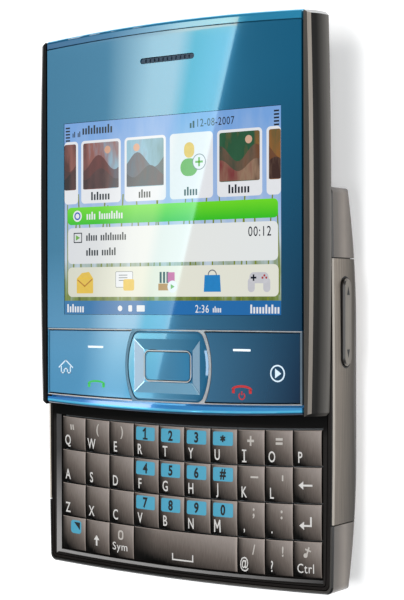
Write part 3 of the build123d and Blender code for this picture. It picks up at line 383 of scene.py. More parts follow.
class Shader:
    """Builds one node material on Object coordinates, piece by piece."""

    def __init__(self, name: str) -> None:
        """Starts a material with its Principled shader and a coordinate node."""
        self.material = bpy.data.materials.new(name)
        self.material.use_nodes = True
        self.tree = self.material.node_tree
        self.tree.nodes.clear()
        self.output = self.node("ShaderNodeOutputMaterial")
        self.surface = self.node("ShaderNodeBsdfPrincipled")
        self.feed(self.output.inputs["Surface"], self.surface.outputs[0])
        self.where = self.node("ShaderNodeTexCoord")

    def node(self, kind: str, **settings: object) -> bpy.types.Node:
        """Adds a node and sets its properties."""
        new = self.tree.nodes.new(kind)
        for key, value in settings.items():
            setattr(new, key, value)
        return new

    def feed(self, socket: Socket, value: object) -> None:
        """Links an output, or writes a number or colour, to a socket.

        Args:
            socket: the input to feed.
            value: another node's output, a number, a vector or a colour.
        """
        if isinstance(value, Socket):
            self.tree.links.new(value, socket)
        elif isinstance(value, tuple) and len(value) == 3 and len(socket.default_value) == 4:
            socket.default_value = (*value, 1.0)
        else:
            socket.default_value = value

    def fill(self, node: bpy.types.Node, values: dict) -> Socket:
        """Feeds several inputs of a node.

        Args:
            node: the node.
            values: what goes to each input, by its name or number.

        Returns:
            The node's first output.
        """
        for key, value in values.items():
            self.feed(node.inputs[key], value)
        return node.outputs[0]

    def set(self, **sockets: object) -> None:
        """Fills sockets of the surface shader; an underscore in a name stands for a space."""
        self.fill(self.surface, {name.replace("_", " "): value for name, value in sockets.items()})

    def position(self, scale: float | tuple = 1.0) -> Socket:
        """Object coordinates in millimetres, times a scale for all axes or one for each."""
        scales = scale if isinstance(scale, tuple) else (scale,) * 3
        values = {"Scale": tuple(s / MM for s in scales), "Vector": self.where.outputs["Object"]}
        return self.fill(self.node("ShaderNodeMapping"), values)

    def axis(self, index: int, source: Socket | None = None) -> Socket:
        """One component of the coordinates: 0, 1 or 2 for X, Y or Z."""
        split = self.node("ShaderNodeSeparateXYZ")
        self.feed(split.inputs[0], source or self.position())
        return split.outputs[index]

    def noise(self, scale: float | tuple, detail: float = 3.0, rough: float = 0.5) -> Socket:
        """Noise from 0 to 1, with scale cycles a millimetre."""
        values = {"Vector": self.position(scale), "Scale": 1.0, "Detail": detail, "Roughness": rough}
        return self.fill(self.node("ShaderNodeTexNoise"), values)

    def math(self, kind: str, a: object, b: object = 0.0, clamp: bool = False) -> Socket:
        """The result of one Math node on two values."""
        return self.fill(self.node("ShaderNodeMath", operation=kind, use_clamp=clamp), {0: a, 1: b})

    def minus(self, a: object, b: object) -> Socket:
        """One value less another."""
        return self.math("SUBTRACT", a, b)

    def times(self, a: object, b: object) -> Socket:
        """One value times another."""
        return self.math("MULTIPLY", a, b)

    def below(self, a: object, b: object) -> Socket:
        """1 where one value is below another, else 0."""
        return self.math("LESS_THAN", a, b)

    def above(self, a: object, b: object) -> Socket:
        """1 where one value is above another, else 0."""
        return self.math("GREATER_THAN", a, b)

    def square(self, value: Socket) -> Socket:
        """A value times itself."""
        return self.times(value, value)

    def span(self, value: Socket, low: float, high: float, to_low: float = 0.0, to_high: float = 1.0) -> Socket:
        """A value carried from one span to another, held at the ends."""
        node = self.node("ShaderNodeMapRange", clamp=True)
        return self.fill(node, {0: value, 1: low, 2: high, 3: to_low, 4: to_high})

    def ramp(self, value: Socket, stops: list[tuple[float, Colour]]) -> Socket:
        """Colour that changes along a value.

        Args:
            value: the value, from 0 to 1.
            stops: rising places from 0 to 1, each with its colour.

        Returns:
            The colour's output.
        """
        node = self.node("ShaderNodeValToRGB")
        elements = node.color_ramp.elements
        for element, (place, colour) in ((elements[0], stops[0]), (elements[1], stops[-1])):
            element.position, element.color = place, (*colour, 1.0)
        for place, colour in stops[1:-1]:
            elements.new(place).color = (*colour, 1.0)
        return self.fill(node, {0: value})

    def mix(self, share: object, a: object, b: object, kind: str = "MIX") -> Socket:
        """Two colours mixed by share."""
        node = self.node("ShaderNodeMix", data_type="RGBA", blend_type=kind)
        self.fill(node, {0: share, 6: a, 7: b})
        return node.outputs[2]

    def product(self, a: Socket, b: Socket) -> Socket:
        """One colour times another."""
        return self.mix(1.0, a, b, "MULTIPLY")

    def mottle(self, grain: Socket, colour: Colour, low: float, high: float = 1.0) -> Socket:
        """A colour times low where the grain is thin, and times high where it is thick."""
        return self.ramp(grain, [(THIN, scaled(colour, low)), (THICK, scaled(colour, high))])

    def uneven(self, grain: Socket, low: float, high: float) -> Socket:
        """A number that is low where the grain is thin, and high where it is thick."""
        return self.span(grain, THIN, THICK, low, high)

    def slope(self, low: float, high: float = 2.0, index: int = 2) -> Socket:
        """Picks the places where the surface faces along an axis.

        Args:
            low: least share of the axis in the normal.
            high: greatest share of it; 2 leaves it open.
            index: the axis, 0, 1 or 2 for X, Y or Z.

        Returns:
            1 where the share lies between them, else 0.
        """
        share = self.axis(index, self.node("ShaderNodeNewGeometry").outputs["True Normal"])
        return self.times(self.above(share, low), self.below(share, high))

    def painted_front_light(self, colour: Socket, edge: FrontEdge, metallic: float) -> Socket:
        """Paints light and shade on the faces that look to the front, and on the bevel beside them, and makes both
        duller.

        Args:
            colour: the tone of all the rest.
            edge: the painted tones of the front edge.
            metallic: how metallic the rest is.

        Returns:
            The colour with its front edge.
        """
        # painted highlight and shade: the front flat takes one tone on the phone's left and another on its right, the
        # bevel a third
        flat_tone = self.mix(self.below(self.axis(0), 0.0), edge.flat_right, edge.flat_left)
        colour = self.mix(self.slope(FLAT_FROM), colour, flat_tone)
        self.set(Metallic=self.span(self.slope(BEVEL_FROM), 0.0, 1.0, metallic, 0.0))
        return self.mix(self.slope(BEVEL_FROM, FLAT_FROM), colour, edge.bevel)

    def along(self, colour: Socket, index: int, shares: Shares) -> Socket:
        """Multiplies a colour by a share that changes along an axis.

        Args:
            colour: the colour.
            index: the axis, 0, 1 or 2 for X, Y or Z.
            shares: rising places, in millimetres, each with its share.

        Returns:
            The product, even beyond the first and last place.
        """
        low, high = shares[0][0], shares[-1][0]
        stops = [((place - low) / (high - low), (share,) * 3) for place, share in shares]
        return self.product(colour, self.ramp(self.span(self.axis(index), low, high), stops))

    def bump(self, height: Socket, depth: float, strength: float) -> None:
        """Gives the surface a relief of height times depth millimetres."""
        relief = {"Strength": strength, "Distance": depth * MM, "Height": height}
        self.set(Normal=self.fill(self.node("ShaderNodeBump"), relief))


@dataclass(frozen=True)
class Finish:
    """A named finish; its paint method fills in the shader."""

    name: str

    def make(self) -> Material:
        """Returns a new material with this finish."""
        shader = Shader(self.name)
        self.paint(shader)
        return shader.material

    def paint(self, shader: Shader) -> None:
        """Fills in the shader; each kind of finish has its own way."""
        raise NotImplementedError


@dataclass(frozen=True)
class GlossPaint(Finish):
    """Blue paint under a hard clear coat; its tone deepens to the phone's right, and there to its foot, as painted
    shade.
    """

    left: Colour
    right: Colour
    low_right: Colour
    low_left: Colour | None = None
    metallic: float = 0.35
    roughness: float = 0.06
    coat_index: float = 1.9
    half_width: float = 30.0
    right_span: Point = (-4.0, 58.0)
    left_span: Point = (6.0, 26.0)
    bend: float = 1.5

    def base(self, seen: Colour) -> Colour:
        """Base colour that shows as seen in plain white light with dark surroundings."""
        return tuple(min(c / (1 - self.metallic + DARK_SURROUND * self.metallic), 1.0) for c in seen)

    def coat(self, shader: Shader, tone: Socket, rough: object, coat_rough: object) -> None:
        """Puts fine flakes into a tone, and a hard coat over it."""
        flakes = shader.mottle(shader.noise(9.0, 2.0), WHITE, 0.93)
        shader.set(Base_Color=shader.product(tone, flakes), Metallic=self.metallic, Roughness=rough)
        shader.set(Coat_Weight=1.0, Coat_Roughness=coat_rough, Coat_IOR=self.coat_index)

    def paint(self, shader: Shader) -> None:
        """Colour by place, as painted shade: one slope up the left, one up the right, mixed by a power of the share
        across.
        """
        # painted shade: the tone changes across the phone and up each side
        across, y = shader.span(shader.axis(0), -self.half_width, self.half_width), shader.axis(1)
        right = shader.mix(shader.span(y, *self.right_span), self.base(self.low_right), self.base(self.right))
        left = shader.mix(shader.span(y, *self.left_span), self.base(self.low_left or self.left), self.base(self.left))
        colour = shader.mix(shader.math("POWER", across, self.bend), left, right)
        rough = shader.uneven(shader.noise(0.08), self.roughness * 0.8, self.roughness * 1.3)
        self.coat(shader, colour, rough, COAT_ROUGHNESS)


class Grain(Enum):
    """Direction in which a metal is brushed, as cycles a millimetre along X, Y and Z."""

    CROSSWAYS = (0.15, 9.0, 9.0)
    LENGTHWAYS = (5.0, 0.05, 5.0)


@dataclass(frozen=True)
class FrontEdge:
    """Painted light and shade of a skin's front edge: tones of its flat on the phone's left and right, and of the bevel
    outside it.
    """

    flat_left: Colour
    flat_right: Colour
    bevel: Colour


@dataclass(frozen=True)
class BrushedMetal(Finish):
    """Metal with fine streaks in one direction; with a front edge, it darkens to the back, to the foot and to the lower
    end as painted shade, and its edge carries painted light and shade.
    """

    colour: Colour
    grain: Grain = Grain.LENGTHWAYS
    metallic: float = 1.0
    roughness: float = 0.34
    contrast: float = 0.35
    edge: FrontEdge | None = None
    seam: tuple = ()
    seam_shadow_width: float = 0.42
    height_shares: Shares = ((2.5, 0.16), (4.6, 0.25), (5.7, 0.4), (7.9, 0.66), (10.1, 0.9), (12.0, 1.0))
    length_shares: Shares = ((-25.0, 0.6), (-5.0, 0.72), (30.0, 1.0))

    def seam_and_shadow(self, shader: Shader) -> Socket:
        """1 on the right side within the given width of a slot with round ends, else 0: a dark seam widened by a
        painted shadow.

        The slot is given as (middle y, middle z, half y, half z). The distance from its spine is the root of
        the sum of squares of the height off the middle and the length beyond the spine's end.
        """
        middle_y, middle_z, half_y, half_z = self.seam
        off_y = shader.math("ABSOLUTE", shader.minus(shader.axis(1), middle_y))
        off_y = shader.math("MAXIMUM", shader.minus(off_y, half_y - half_z), 0.0)
        off_z = shader.minus(shader.axis(2), middle_z)
        distance = shader.math("ADD", shader.square(off_y), shader.square(off_z))
        near = shader.below(distance, (half_z + self.seam_shadow_width) ** 2)
        return shader.times(near, shader.above(shader.axis(0), 0.0))

    def paint(self, shader: Shader) -> None:
        """Streaked colour, roughness and relief, with painted shade, the painted front edge and the seam with its
        painted shadow if it has them.
        """
        streaks = shader.noise(self.grain.value, 4.0, 0.65)
        colour = shader.mottle(streaks, self.colour, 1.0 - self.contrast, 1.0 + self.contrast)
        rough = shader.uneven(streaks, self.roughness * 0.85, self.roughness * 1.2)
        shader.set(Metallic=self.metallic, Roughness=rough)
        if self.edge:
            # painted shade: darker towards the back, the foot and the lower end, then the front edge's painted light
            # and shade
            colour = shader.along(shader.along(colour, 2, self.height_shares), 1, self.length_shares)
            colour = shader.painted_front_light(colour, self.edge, self.metallic)
        # dark seam widened by a painted shadow round the rocker's slot
        if self.seam:
            colour = shader.mix(self.seam_and_shadow(shader), colour, scaled(WHITE, 0.004))
        shader.set(Base_Color=colour)
        shader.bump(streaks, 0.01, 0.25)


@dataclass(frozen=True)
class MetallicPaint(Finish):
    """Smooth metallic paint with painted shade: lighter in a band along the middle of its height, darker to the back
    and to the front.
    """

    colour: Colour
    edge: FrontEdge
    metallic: float = 0.75
    roughness: float = 0.36
    coat: float = 0.2
    height_shares: Shares = ((3.0, 0.25), (5.0, 0.45), (6.5, 0.7), (7.6, 0.96), (8.5, 0.86), (10.0, 0.52), (12.0, 0.34))

    def paint(self, shader: Shader) -> None:
        """Cloudy colour with painted shade along the height, flake relief and a painted front edge."""
        flakes = shader.noise(12.0, 2.0)
        rough = shader.uneven(flakes, self.roughness * 0.9, self.roughness * 1.15)
        shader.set(Roughness=rough, Coat_Weight=self.coat, Coat_Roughness=0.1)
        # painted shade along the height, then the front edge's painted light and shade
        colour = shader.along(shader.mottle(shader.noise(0.25), self.colour, 0.93, 1.05), 2, self.height_shares)
        shader.set(Base_Color=shader.painted_front_light(colour, self.edge, self.metallic))
        shader.bump(flakes, 0.004, 0.2)


@dataclass(frozen=True)
class GripPaint(Finish):
    """Graphite of the two side grips with painted light and shade: dark sides, a front made lighter on the right, a
    painted highlight on the bevel.

    The sides pale towards the back as painted shade, and the upper ends are palest as a painted highlight.
    """

    side: Colour
    foot: Colour
    end: Colour
    front_left: Colour
    front_right: Colour
    bevel_left: Colour
    bevel_right: Colour
    side_span: Point = (12.4, 15.3)
    front_from: float = 0.93
    bevel_from: float = 0.6
    bevel_shares: Shares = ((-5.0, 0.68), (45.0, 1.0), (66.6, 1.0), (67.4, 1.35))

    def paint(self, shader: Shader) -> None:
        """The slope of the surface and the side of the phone choose the tone, as painted light and shade."""
        # painted light and shade: each side, front, bevel and upper end gets its own lit or shaded tone
        on_left = shader.below(shader.axis(0), 0.0)
        front = shader.mix(on_left, self.front_right, self.front_left)
        bevel = shader.along(shader.mix(on_left, self.bevel_right, self.bevel_left), 1, self.bevel_shares)
        side = shader.mix(shader.span(shader.axis(2), *self.side_span), self.foot, self.side)
        side = shader.mix(shader.slope(BEVEL_FROM, index=1), side, self.end)
        colour = shader.mix(shader.slope(self.front_from), side, front)
        colour = shader.mix(shader.slope(self.bevel_from, self.front_from), colour, bevel)
        streaks = shader.noise((2.0, 0.08, 2.0))
        tone = shader.mottle(streaks, WHITE, 0.86)
        shader.set(Base_Color=shader.product(colour, tone), Roughness=shader.uneven(streaks, 0.3, 0.4))
        shader.set(Metallic=0.1, Specular_IOR_Level=0.2)


@dataclass(frozen=True)
class Polish(Finish):
    """Bright plated metal with a trace of wear."""

    colour: Colour
    metallic: float = 0.45
    roughness: float = 0.15

    def tone(self, _shader: Shader) -> object:
        """Its colour, the same all over."""
        return self.colour

    def paint(self, shader: Shader) -> None:
        """Its tone, and faint smears in its roughness."""
        rough = shader.uneven(shader.noise(0.5), self.roughness * 0.7, self.roughness * 1.5)
        shader.set(Base_Color=self.tone(shader), Metallic=self.metallic, Roughness=rough)


@dataclass(frozen=True)
class FramePlating(Polish):
    """Plating of the frame round the front keys: a fine bright line at its outer edge, black inside it.

    The distance from the outer edge is the least of those from the top, the side and the shallow arc at the
    foot. The surround of the navigation ring is bright all over, with a painted reflection that makes it blue-grey
    on the phone's left; it reaches as far as the ring, less the bulge of its sides times the square of the
    height from -1 to 1. The side lines carry a painted reflection too, bluer on the phone's left.
    """

    left_reflection: Colour = WHITE
    left_side: Colour = WHITE
    right_side: Colour = WHITE
    inner: Colour = (0.004, 0.006, 0.008)
    arch: float = 0.65
    line: float = 0.2
    side_line: float = 0.45
    ring_half: float = 10.05
    bulge: float = 1.75
    left_reflection_span: Point = (-8.0, 4.0)

    def tone(self, shader: Shader) -> Socket:
        """Its tone by the place on the frame."""
        low, high = box_mm("key_frame")
        x, y = shader.axis(0), shader.axis(1)
        off = shader.math("ABSOLUTE", x)
        rise = shader.times(shader.square(shader.math("DIVIDE", x, high.x)), self.arch)
        from_foot = shader.minus(shader.minus(y, low.y), rise)
        from_end = shader.math("MINIMUM", from_foot, shader.minus(high.y, y))
        from_side = shader.minus(high.x, off)
        # painted reflection: blue-grey tones on the phone's left, on the side lines and the ring's surround
        side = shader.mix(shader.below(x, 0.0), self.right_side, self.left_side)
        tone = shader.mix(shader.span(x, *self.left_reflection_span), self.left_reflection, self.colour)
        up = shader.span(y, low.y, high.y, -1.0, 1.0)
        reach = shader.minus(self.ring_half, shader.times(shader.square(up), self.bulge))
        on_ring = shader.below(off, reach)
        tone = shader.mix(on_ring, self.colour, tone)
        inside = shader.above(shader.math("MINIMUM", from_end, from_side), self.line)
        inside = shader.times(inside, shader.minus(1.0, on_ring))
        tone = shader.mix(inside, tone, self.inner)
        on_side = shader.below(from_side, shader.math("MINIMUM", from_end, self.side_line))
        return shader.mix(on_side, tone, side)


@dataclass(frozen=True)
class MouldedPlastic(Finish):
    """Plastic with a fine moulded grain."""

    colour: Colour
    roughness: float = 0.5
    grain_depth: float = 0.01
    grain_scale: float = 5.0
    mirror: float = 0.5

    def paint(self, shader: Shader) -> None:
        """Grained relief and slightly uneven tone."""
        grain = shader.noise(self.grain_scale, 4.0)
        rough = shader.uneven(grain, self.roughness * 0.9, self.roughness * 1.1)
        colour = shader.mottle(grain, self.colour, 0.85, 1.15)
        shader.set(Base_Color=colour, Roughness=rough, Specular_IOR_Level=self.mirror)
        shader.bump(grain, self.grain_depth, 0.4)


@dataclass(frozen=True)
class Ink(Finish):
    """Printed or moulded-in mark, slightly rough, with a faint mottle."""

    colour: Colour
    glow: float = 0.0
    roughness: float = 0.4

    def paint(self, shader: Shader) -> None:
        """Mottled colour; a backlit mark also glows."""
        colour = shader.mottle(shader.noise(6.0), self.colour, 0.94)
        shader.set(Base_Color=colour, Roughness=self.roughness)
        if self.glow:
            shader.set(Emission_Color=colour, Emission_Strength=self.glow)


@dataclass(frozen=True)
class HousingPaint(GlossPaint):
    """Gloss paint of the screen half's frame: cap and strip differ, with painted shade across each, a painted highlight
    along their outer edges and a painted shade at the strip's foot.

    Distances from the cap's and the strip's outer edge are the edge's height in the middle, less the rise
    of its shallow arc at x, less y.
    """

    strip: Colour = WHITE
    strip_right: Colour = WHITE
    bright: Colour = WHITE
    deep: Colour = WHITE
    cap_middle: float = 68.7
    cap_from: float = 30.0
    strip_middle: float = -5.17
    arch: float = 1.0
    arch_half: float = 29.6
    line: float = 0.32
    foot: float = 0.45
    line_roughness: float = 0.35

    def paint(self, shader: Shader) -> None:
        """Two tones by place with painted shade across them, a painted highlight along each outer edge, a painted shade
        at the foot.
        """
        x, y = shader.axis(0), shader.axis(1)
        rise = shader.times(shader.square(shader.math("DIVIDE", x, self.arch_half)), self.arch)
        from_cap = shader.minus(shader.minus(self.cap_middle, rise), y)
        from_strip = shader.minus(shader.minus(y, rise), self.strip_middle)
        # painted shade: the cap's and the strip's tones change across the phone
        across = shader.span(x, -self.half_width, self.half_width)
        cap = shader.mix(across, self.base(self.left), self.base(self.right))
        strip = shader.mix(across, self.base(self.strip), self.base(self.strip_right))
        tone = shader.mix(shader.below(y, self.cap_from), cap, strip)
        # painted highlight along the cap's and the strip's outer edges
        on_cap_line = shader.span(from_cap, self.line * 0.8, self.line * 1.3, 1.0, 0.0)
        on_strip_line = shader.span(from_strip, self.foot + self.line, self.foot + self.line * 1.6, 1.0, 0.0)
        on_line = shader.math("MAXIMUM", on_cap_line, on_strip_line)
        tone = shader.mix(on_line, tone, self.base(self.bright))
        # painted shade at the strip's foot
        on_foot = shader.span(from_strip, self.foot * 0.8, self.foot * 1.2, 1.0, 0.0)
        tone = shader.mix(on_foot, tone, self.base(self.deep))
        coat_rough = shader.span(on_line, 0.0, 1.0, COAT_ROUGHNESS, self.line_roughness)
        self.coat(shader, tone, self.roughness, coat_rough)


@dataclass(frozen=True)
class DeckMetal(Finish):
    """Dark satin metal, blackest in the strip beside the screen half as a painted shadow, with painted highlights on
    the bevels round the keys.
    """

    strip: Colour
    face: Colour
    bevel: Colour
    low_bevel: Colour
    bevel_top: float = 11.6
    strip_span: Point = (-8.5, -6.5)
    side_span: Point = (-31.0, -14.0)
    low_span: Point = (-5.0, 31.0)
    bevel_from: float = 0.3

    def paint(self, shader: Shader) -> None:
        """The slope of the surface itself tells a bevel from a face.

        The bevels carry a painted highlight that is brightest in the lower left corner, and the lower one is bright
        only below bevel_top.
        """
        x, y = shader.axis(0), shader.axis(1)
        streaks = shader.noise(Grain.CROSSWAYS.value, 4.0, 0.65)
        # painted shadow in the strip beside the screen half, painted highlights on the bevels
        face = shader.mix(shader.span(y, *self.strip_span), self.face, self.strip)
        side = shader.mix(shader.span(y, *self.side_span), self.low_bevel, self.bevel)
        side = shader.mix(shader.below(x, 0.0), self.face, side)
        low = shader.mix(shader.span(x, *self.low_span), self.low_bevel, self.bevel)
        low = shader.mix(shader.below(shader.axis(2), self.bevel_top), self.face, low)
        bevel = shader.mix(shader.slope(self.bevel_from, index=1), side, low)
        colour = shader.mix(shader.slope(self.bevel_from, FLAT_FROM), face, bevel)
        colour = shader.product(colour, shader.mottle(streaks, WHITE, 0.85, 1.1))
        shader.set(Base_Color=colour, Roughness=shader.uneven(streaks, 0.35, 0.45), Specular_IOR_Level=0.08)
        shader.bump(streaks, 0.006, 0.2)


@dataclass(frozen=True)
class LitPage(Finish):
    """A finish of the lit display page: it glows by itself and mirrors like glass."""

    def light(self, shader: Shader, colour: Socket) -> None:
        """Lights a colour from behind the cover glass."""
        shader.set(Base_Color=(0.01, 0.01, 0.012), Roughness=0.025, IOR=PAGE_INDEX)
        shader.set(Emission_Color=colour, Emission_Strength=PAGE_GLOW)


@dataclass(frozen=True)
class LitInk(LitPage):
    """Plain colour with a faint mottle."""

    colour: Colour
    mottle: float = 0.05

    def paint(self, shader: Shader) -> None:
        """The colour, darker by the mottle in places."""
        self.light(shader, shader.mottle(shader.noise(1.2), self.colour, 1 - self.mottle))


@dataclass(frozen=True)
class LitSlope(LitPage):
    """Colours that change along an axis, from low to high millimetres, unsettled by noise.

    The stops are rows of a place from 0 to 1 and then red, green and blue from 0 to 255.
    """

    mottle: float
    stops: tuple
    axis: int = 0
    low: float = -25.0
    high: float = 25.0

    def paint(self, shader: Shader) -> None:
        """A ramp along the axis, each place moved by up to half the mottle."""
        place = shader.span(shader.axis(self.axis), self.low, self.high)
        wave = shader.uneven(shader.noise((0.5, 0.12, 0.5)), -self.mottle / 2, self.mottle / 2)
        stops = [(share, srgb(*colour)) for share, *colour in self.stops]
        self.light(shader, shader.ramp(shader.math("ADD", place, wave, clamp=True), stops))


@dataclass(frozen=True)
class KeyPaint(Finish):
    """Metallic key paint with painted light and shade: a soft slope of tone over each key, a painted shade at its left
    and painted highlights on its upper and right edges.
    """

    dark: Colour
    middle: Colour
    light: Colour
    edge: Colour
    shade: Colour = (0.004, 0.0035, 0.003)
    shade_reach: float = 0.22
    rim_span: Point = (0.975, 0.99)

    def paint(self, shader: Shader) -> None:
        """Painted shade laid out by each key's own UV map; the tone rises by 0.4 across and by 0.6 up."""
        uv = shader.where.outputs["UV"]
        across, up = shader.axis(0, uv), shader.axis(1, uv)
        # painted shade: the tone rises across and up each key
        slope = shader.math("ADD", shader.times(across, 0.4), shader.times(up, 0.6))
        grain = shader.uneven(shader.noise((14.0, 0.6, 14.0), 2.0), -0.05, 0.05)
        tone = shader.math("ADD", slope, grain, clamp=True)
        colour = shader.ramp(tone, [(0.14, self.dark), (0.52, self.middle), (0.9, self.light)])
        # painted highlights on the upper and right edges, painted shade at the left
        upper, right = shader.span(up, *self.rim_span, 0.0, 0.8), shader.span(across, *self.rim_span, 0.0, 0.4)
        shaded = shader.mix(shader.span(across, 0.0, self.shade_reach, 0.2), self.shade, colour)
        colour = shader.mix(shader.math("MAXIMUM", upper, right), shaded, self.edge)
        shader.set(Base_Color=colour, Metallic=0.1, Roughness=0.42, Specular_IOR_Level=0.12)


# ------------------------------------------------------------------ finishes of the phone


@dataclass
class Finishes:
    """Every shared finish of the phone, made once."""

    made: dict = field(default_factory=dict)

    def get(self, finish: Finish) -> Material:
        """Returns the material of a finish, made at its first use."""
        if finish.name not in self.made:
            self.made[finish.name] = finish.make()
        return self.made[finish.name]


# The blue gloss finishes carry painted shade: tones that change across the phone and towards its foot.
WINDOW = GlossPaint("window_blue", srgb(40, 104, 136), srgb(4, 86, 118), srgb(0, 28, 54), srgb(78, 138, 176))
SELECT = GlossPaint("select_blue", srgb(76, 124, 152), srgb(46, 120, 162), srgb(46, 120, 162), half_width=6.0)
HOUSING = HousingPaint("housing_blue", srgb(6, 80, 118), srgb(40, 126, 162), srgb(40, 126, 162), coat_index=1.75,
                       strip=srgb(32, 104, 168), strip_right=srgb(62, 134, 188), bright=srgb(60, 164, 204),
                       deep=srgb(0, 48, 78))
NAV_PAINT = GlossPaint("nav_blue", srgb(86, 141, 170), srgb(0, 88, 126), srgb(0, 84, 120), roughness=0.1,
                       half_width=10.0)
CHROME = Polish("chrome_line", srgb(186, 188, 192))
# The frame's blue-grey tones on the phone's left are a painted reflection.
FRAME_LINES = FramePlating("frame_lines", srgb(186, 188, 192), left_reflection=srgb(96, 128, 150), left_side=srgb(68, 131, 169),
                           right_side=srgb(112, 130, 144))
# The grips' tones are painted light and shade: a lighter right front, pale bevels and ends as painted highlights.
GRAPHITE = GripPaint("graphite", side=srgb(18, 16, 14), foot=srgb(98, 95, 91), end=srgb(190, 190, 190),
                     front_left=srgb(20, 20, 22), front_right=srgb(66, 62, 58), bevel_left=srgb(70, 68, 66),
                     bevel_right=srgb(134, 127, 119))
BLACK = MouldedPlastic("black_plastic", srgb(28, 25, 24), 0.38, mirror=0.12)
INNER = MouldedPlastic("inner_black", srgb(12, 12, 13), 0.6)
# The deck's black strip is a painted shadow of the screen half; its bevel tones are painted highlights.
DECK = DeckMetal("deck_metal", strip=srgb(7, 6, 6), face=srgb(36, 34, 33), bevel=srgb(78, 77, 77),
                 low_bevel=srgb(160, 158, 157))
# Front edges with painted light and shade: the band's left flat and bevel are painted highlights, its right flat a
# painted shade; the cap's and the rocker's edge tones are painted shade.
BAND_EDGE = FrontEdge(srgb(196, 186, 174), srgb(22, 20, 19), srgb(150, 143, 134))
CAP_EDGE = FrontEdge(srgb(26, 25, 24), srgb(52, 49, 46), srgb(18, 17, 16))
ROCKER_EDGE = FrontEdge(*(srgb(38, 35, 33),) * 3)
# The caps and the rocker carry painted shade along their height and on their front edges.
CAP = MetallicPaint("cap_paint", srgb(118, 110, 103), CAP_EDGE)
ROCKER = MetallicPaint("rocker_paint", srgb(108, 102, 94), ROCKER_EDGE)
COVER = BrushedMetal("cover_metal", srgb(126, 117, 109), metallic=0.85, roughness=0.36, contrast=0.2)
STEEL = BrushedMetal("plain_steel", srgb(170, 170, 172), roughness=0.3, contrast=0.15)
WRAP = MouldedPlastic("battery_wrap", srgb(70, 72, 76), 0.5, 0.003)
BOARD = MouldedPlastic("board_green", srgb(24, 84, 52), 0.4, 0.02, 1.5)
SILICONE = MouldedPlastic("silicone", srgb(110, 114, 118), 0.55, 0.006)
LENS = MouldedPlastic("camera_black", srgb(14, 15, 18), 0.12, 0.001)
GLASS = MouldedPlastic("display_glass", srgb(10, 16, 22), 0.06, 0.0005)
GRILLE = BrushedMetal("earpiece_metal", srgb(58, 72, 88), Grain.CROSSWAYS, metallic=0.6, roughness=0.35)
# The key paint's tones are painted shade and its edge tone a painted highlight.
KEY = KeyPaint("key_paint", srgb(6, 5, 4), srgb(94, 86, 81), srgb(136, 127, 122), srgb(158, 146, 139))
LETTER = Ink("letter_white", srgb(200, 197, 194))
SIGN = Ink("sign_grey", srgb(174, 168, 162))
PATCH = Ink("number_patch", srgb(68, 148, 176))
NUMBER = Ink("number_black", srgb(4, 8, 10), roughness=0.7)
ICON = Ink("icon_white", srgb(226, 236, 244), 0.15)
PALE_ICON = Ink("icon_pale", srgb(204, 222, 236), 0.06)
GREEN = Ink("icon_green", srgb(56, 176, 74), 0.2)
RED = Ink("icon_red", srgb(170, 24, 30), 0.15)
FACET = Ink("facet_frost", srgb(128, 158, 180), roughness=0.3)
FAINT_FACET = Ink("facet_faint", srgb(92, 140, 168), roughness=0.3)

MEADOW = LitSlope("page_meadow", 0.2, ((0.0, 84, 100, 14), (0.12, 120, 140, 60), (0.34, 196, 212, 226),
                                       (0.6, 160, 190, 234), (1.0, 120, 168, 230)), 1, 13.4, 51.0)
SOFT_BAR = LitSlope("page_soft_bar", 0.05, ((0.0, 52, 120, 172), (0.5, 26, 112, 182), (1.0, 22, 104, 170)))
GREEN_BAR = LitSlope("page_green_bar", 0.04, ((0.0, 44, 196, 0), (1.0, 112, 226, 16)), 1, 31.0, 34.4)
PANEL = LitSlope("page_panel", 0.06, ((0.0, 226, 228, 232), (0.5, 240, 242, 238), (1.0, 238, 242, 242)))
ICON_PANEL = LitSlope("page_icon_panel", 0.06, ((0.0, 222, 222, 204), (0.5, 238, 238, 222), (1.0, 236, 236, 222)))
TILE_SKY = LitSlope("page_tile_sky", 0.2, ((0.0, 80, 40, 30), (0.16, 150, 92, 82), (0.34, 140, 190, 214),
                                           (0.7, 40, 92, 60), (0.84, 34, 84, 52), (1.0, 150, 96, 40)))
TILE_HILL = LitSlope("page_tile_hill", 0.2, ((0.0, 40, 20, 16), (0.2, 96, 60, 56), (0.36, 56, 66, 82),
                                             (0.7, 120, 40, 44), (0.86, 150, 120, 96), (1.0, 60, 34, 20)))
TILE_FAR = LitSlope("page_tile_far", 0.2, ((0.0, 70, 40, 34), (0.2, 110, 56, 50), (0.36, 84, 98, 116),
                                           (0.7, 58, 70, 52), (0.86, 110, 84, 64), (1.0, 110, 66, 30)))
TILE_DISC = LitSlope("page_tile_disc", 0.1, ((0.0, 200, 150, 120), (0.35, 226, 170, 140), (1.0, 214, 176, 150)))
BLADE = LitInk("page_blade", srgb(128, 142, 30), 0.25)
DARK_INK = LitInk("page_dark", srgb(24, 30, 40), 0.03)
WHITE_INK = LitInk("page_white", srgb(240, 242, 246), 0.02)
GREY_INK = LitInk("page_grey", srgb(120, 124, 130))
PALE_INK = LitInk("page_pale", srgb(206, 206, 212))
GREEN_INK = LitInk("page_green", srgb(112, 180, 60), 0.1)
YELLOW_INK = LitInk("page_yellow", srgb(240, 200, 70), 0.08)
AMBER_INK = LitInk("page_amber", srgb(190, 130, 30), 0.08)
MAGENTA_INK = LitInk("page_magenta", srgb(206, 70, 150), 0.08)
BAG_INK = LitInk("page_bag", srgb(28, 134, 204), 0.06)
BLUE_INK = LitInk("page_blue", srgb(50, 96, 190))
RED_INK = LitInk("page_red", srgb(180, 60, 60))

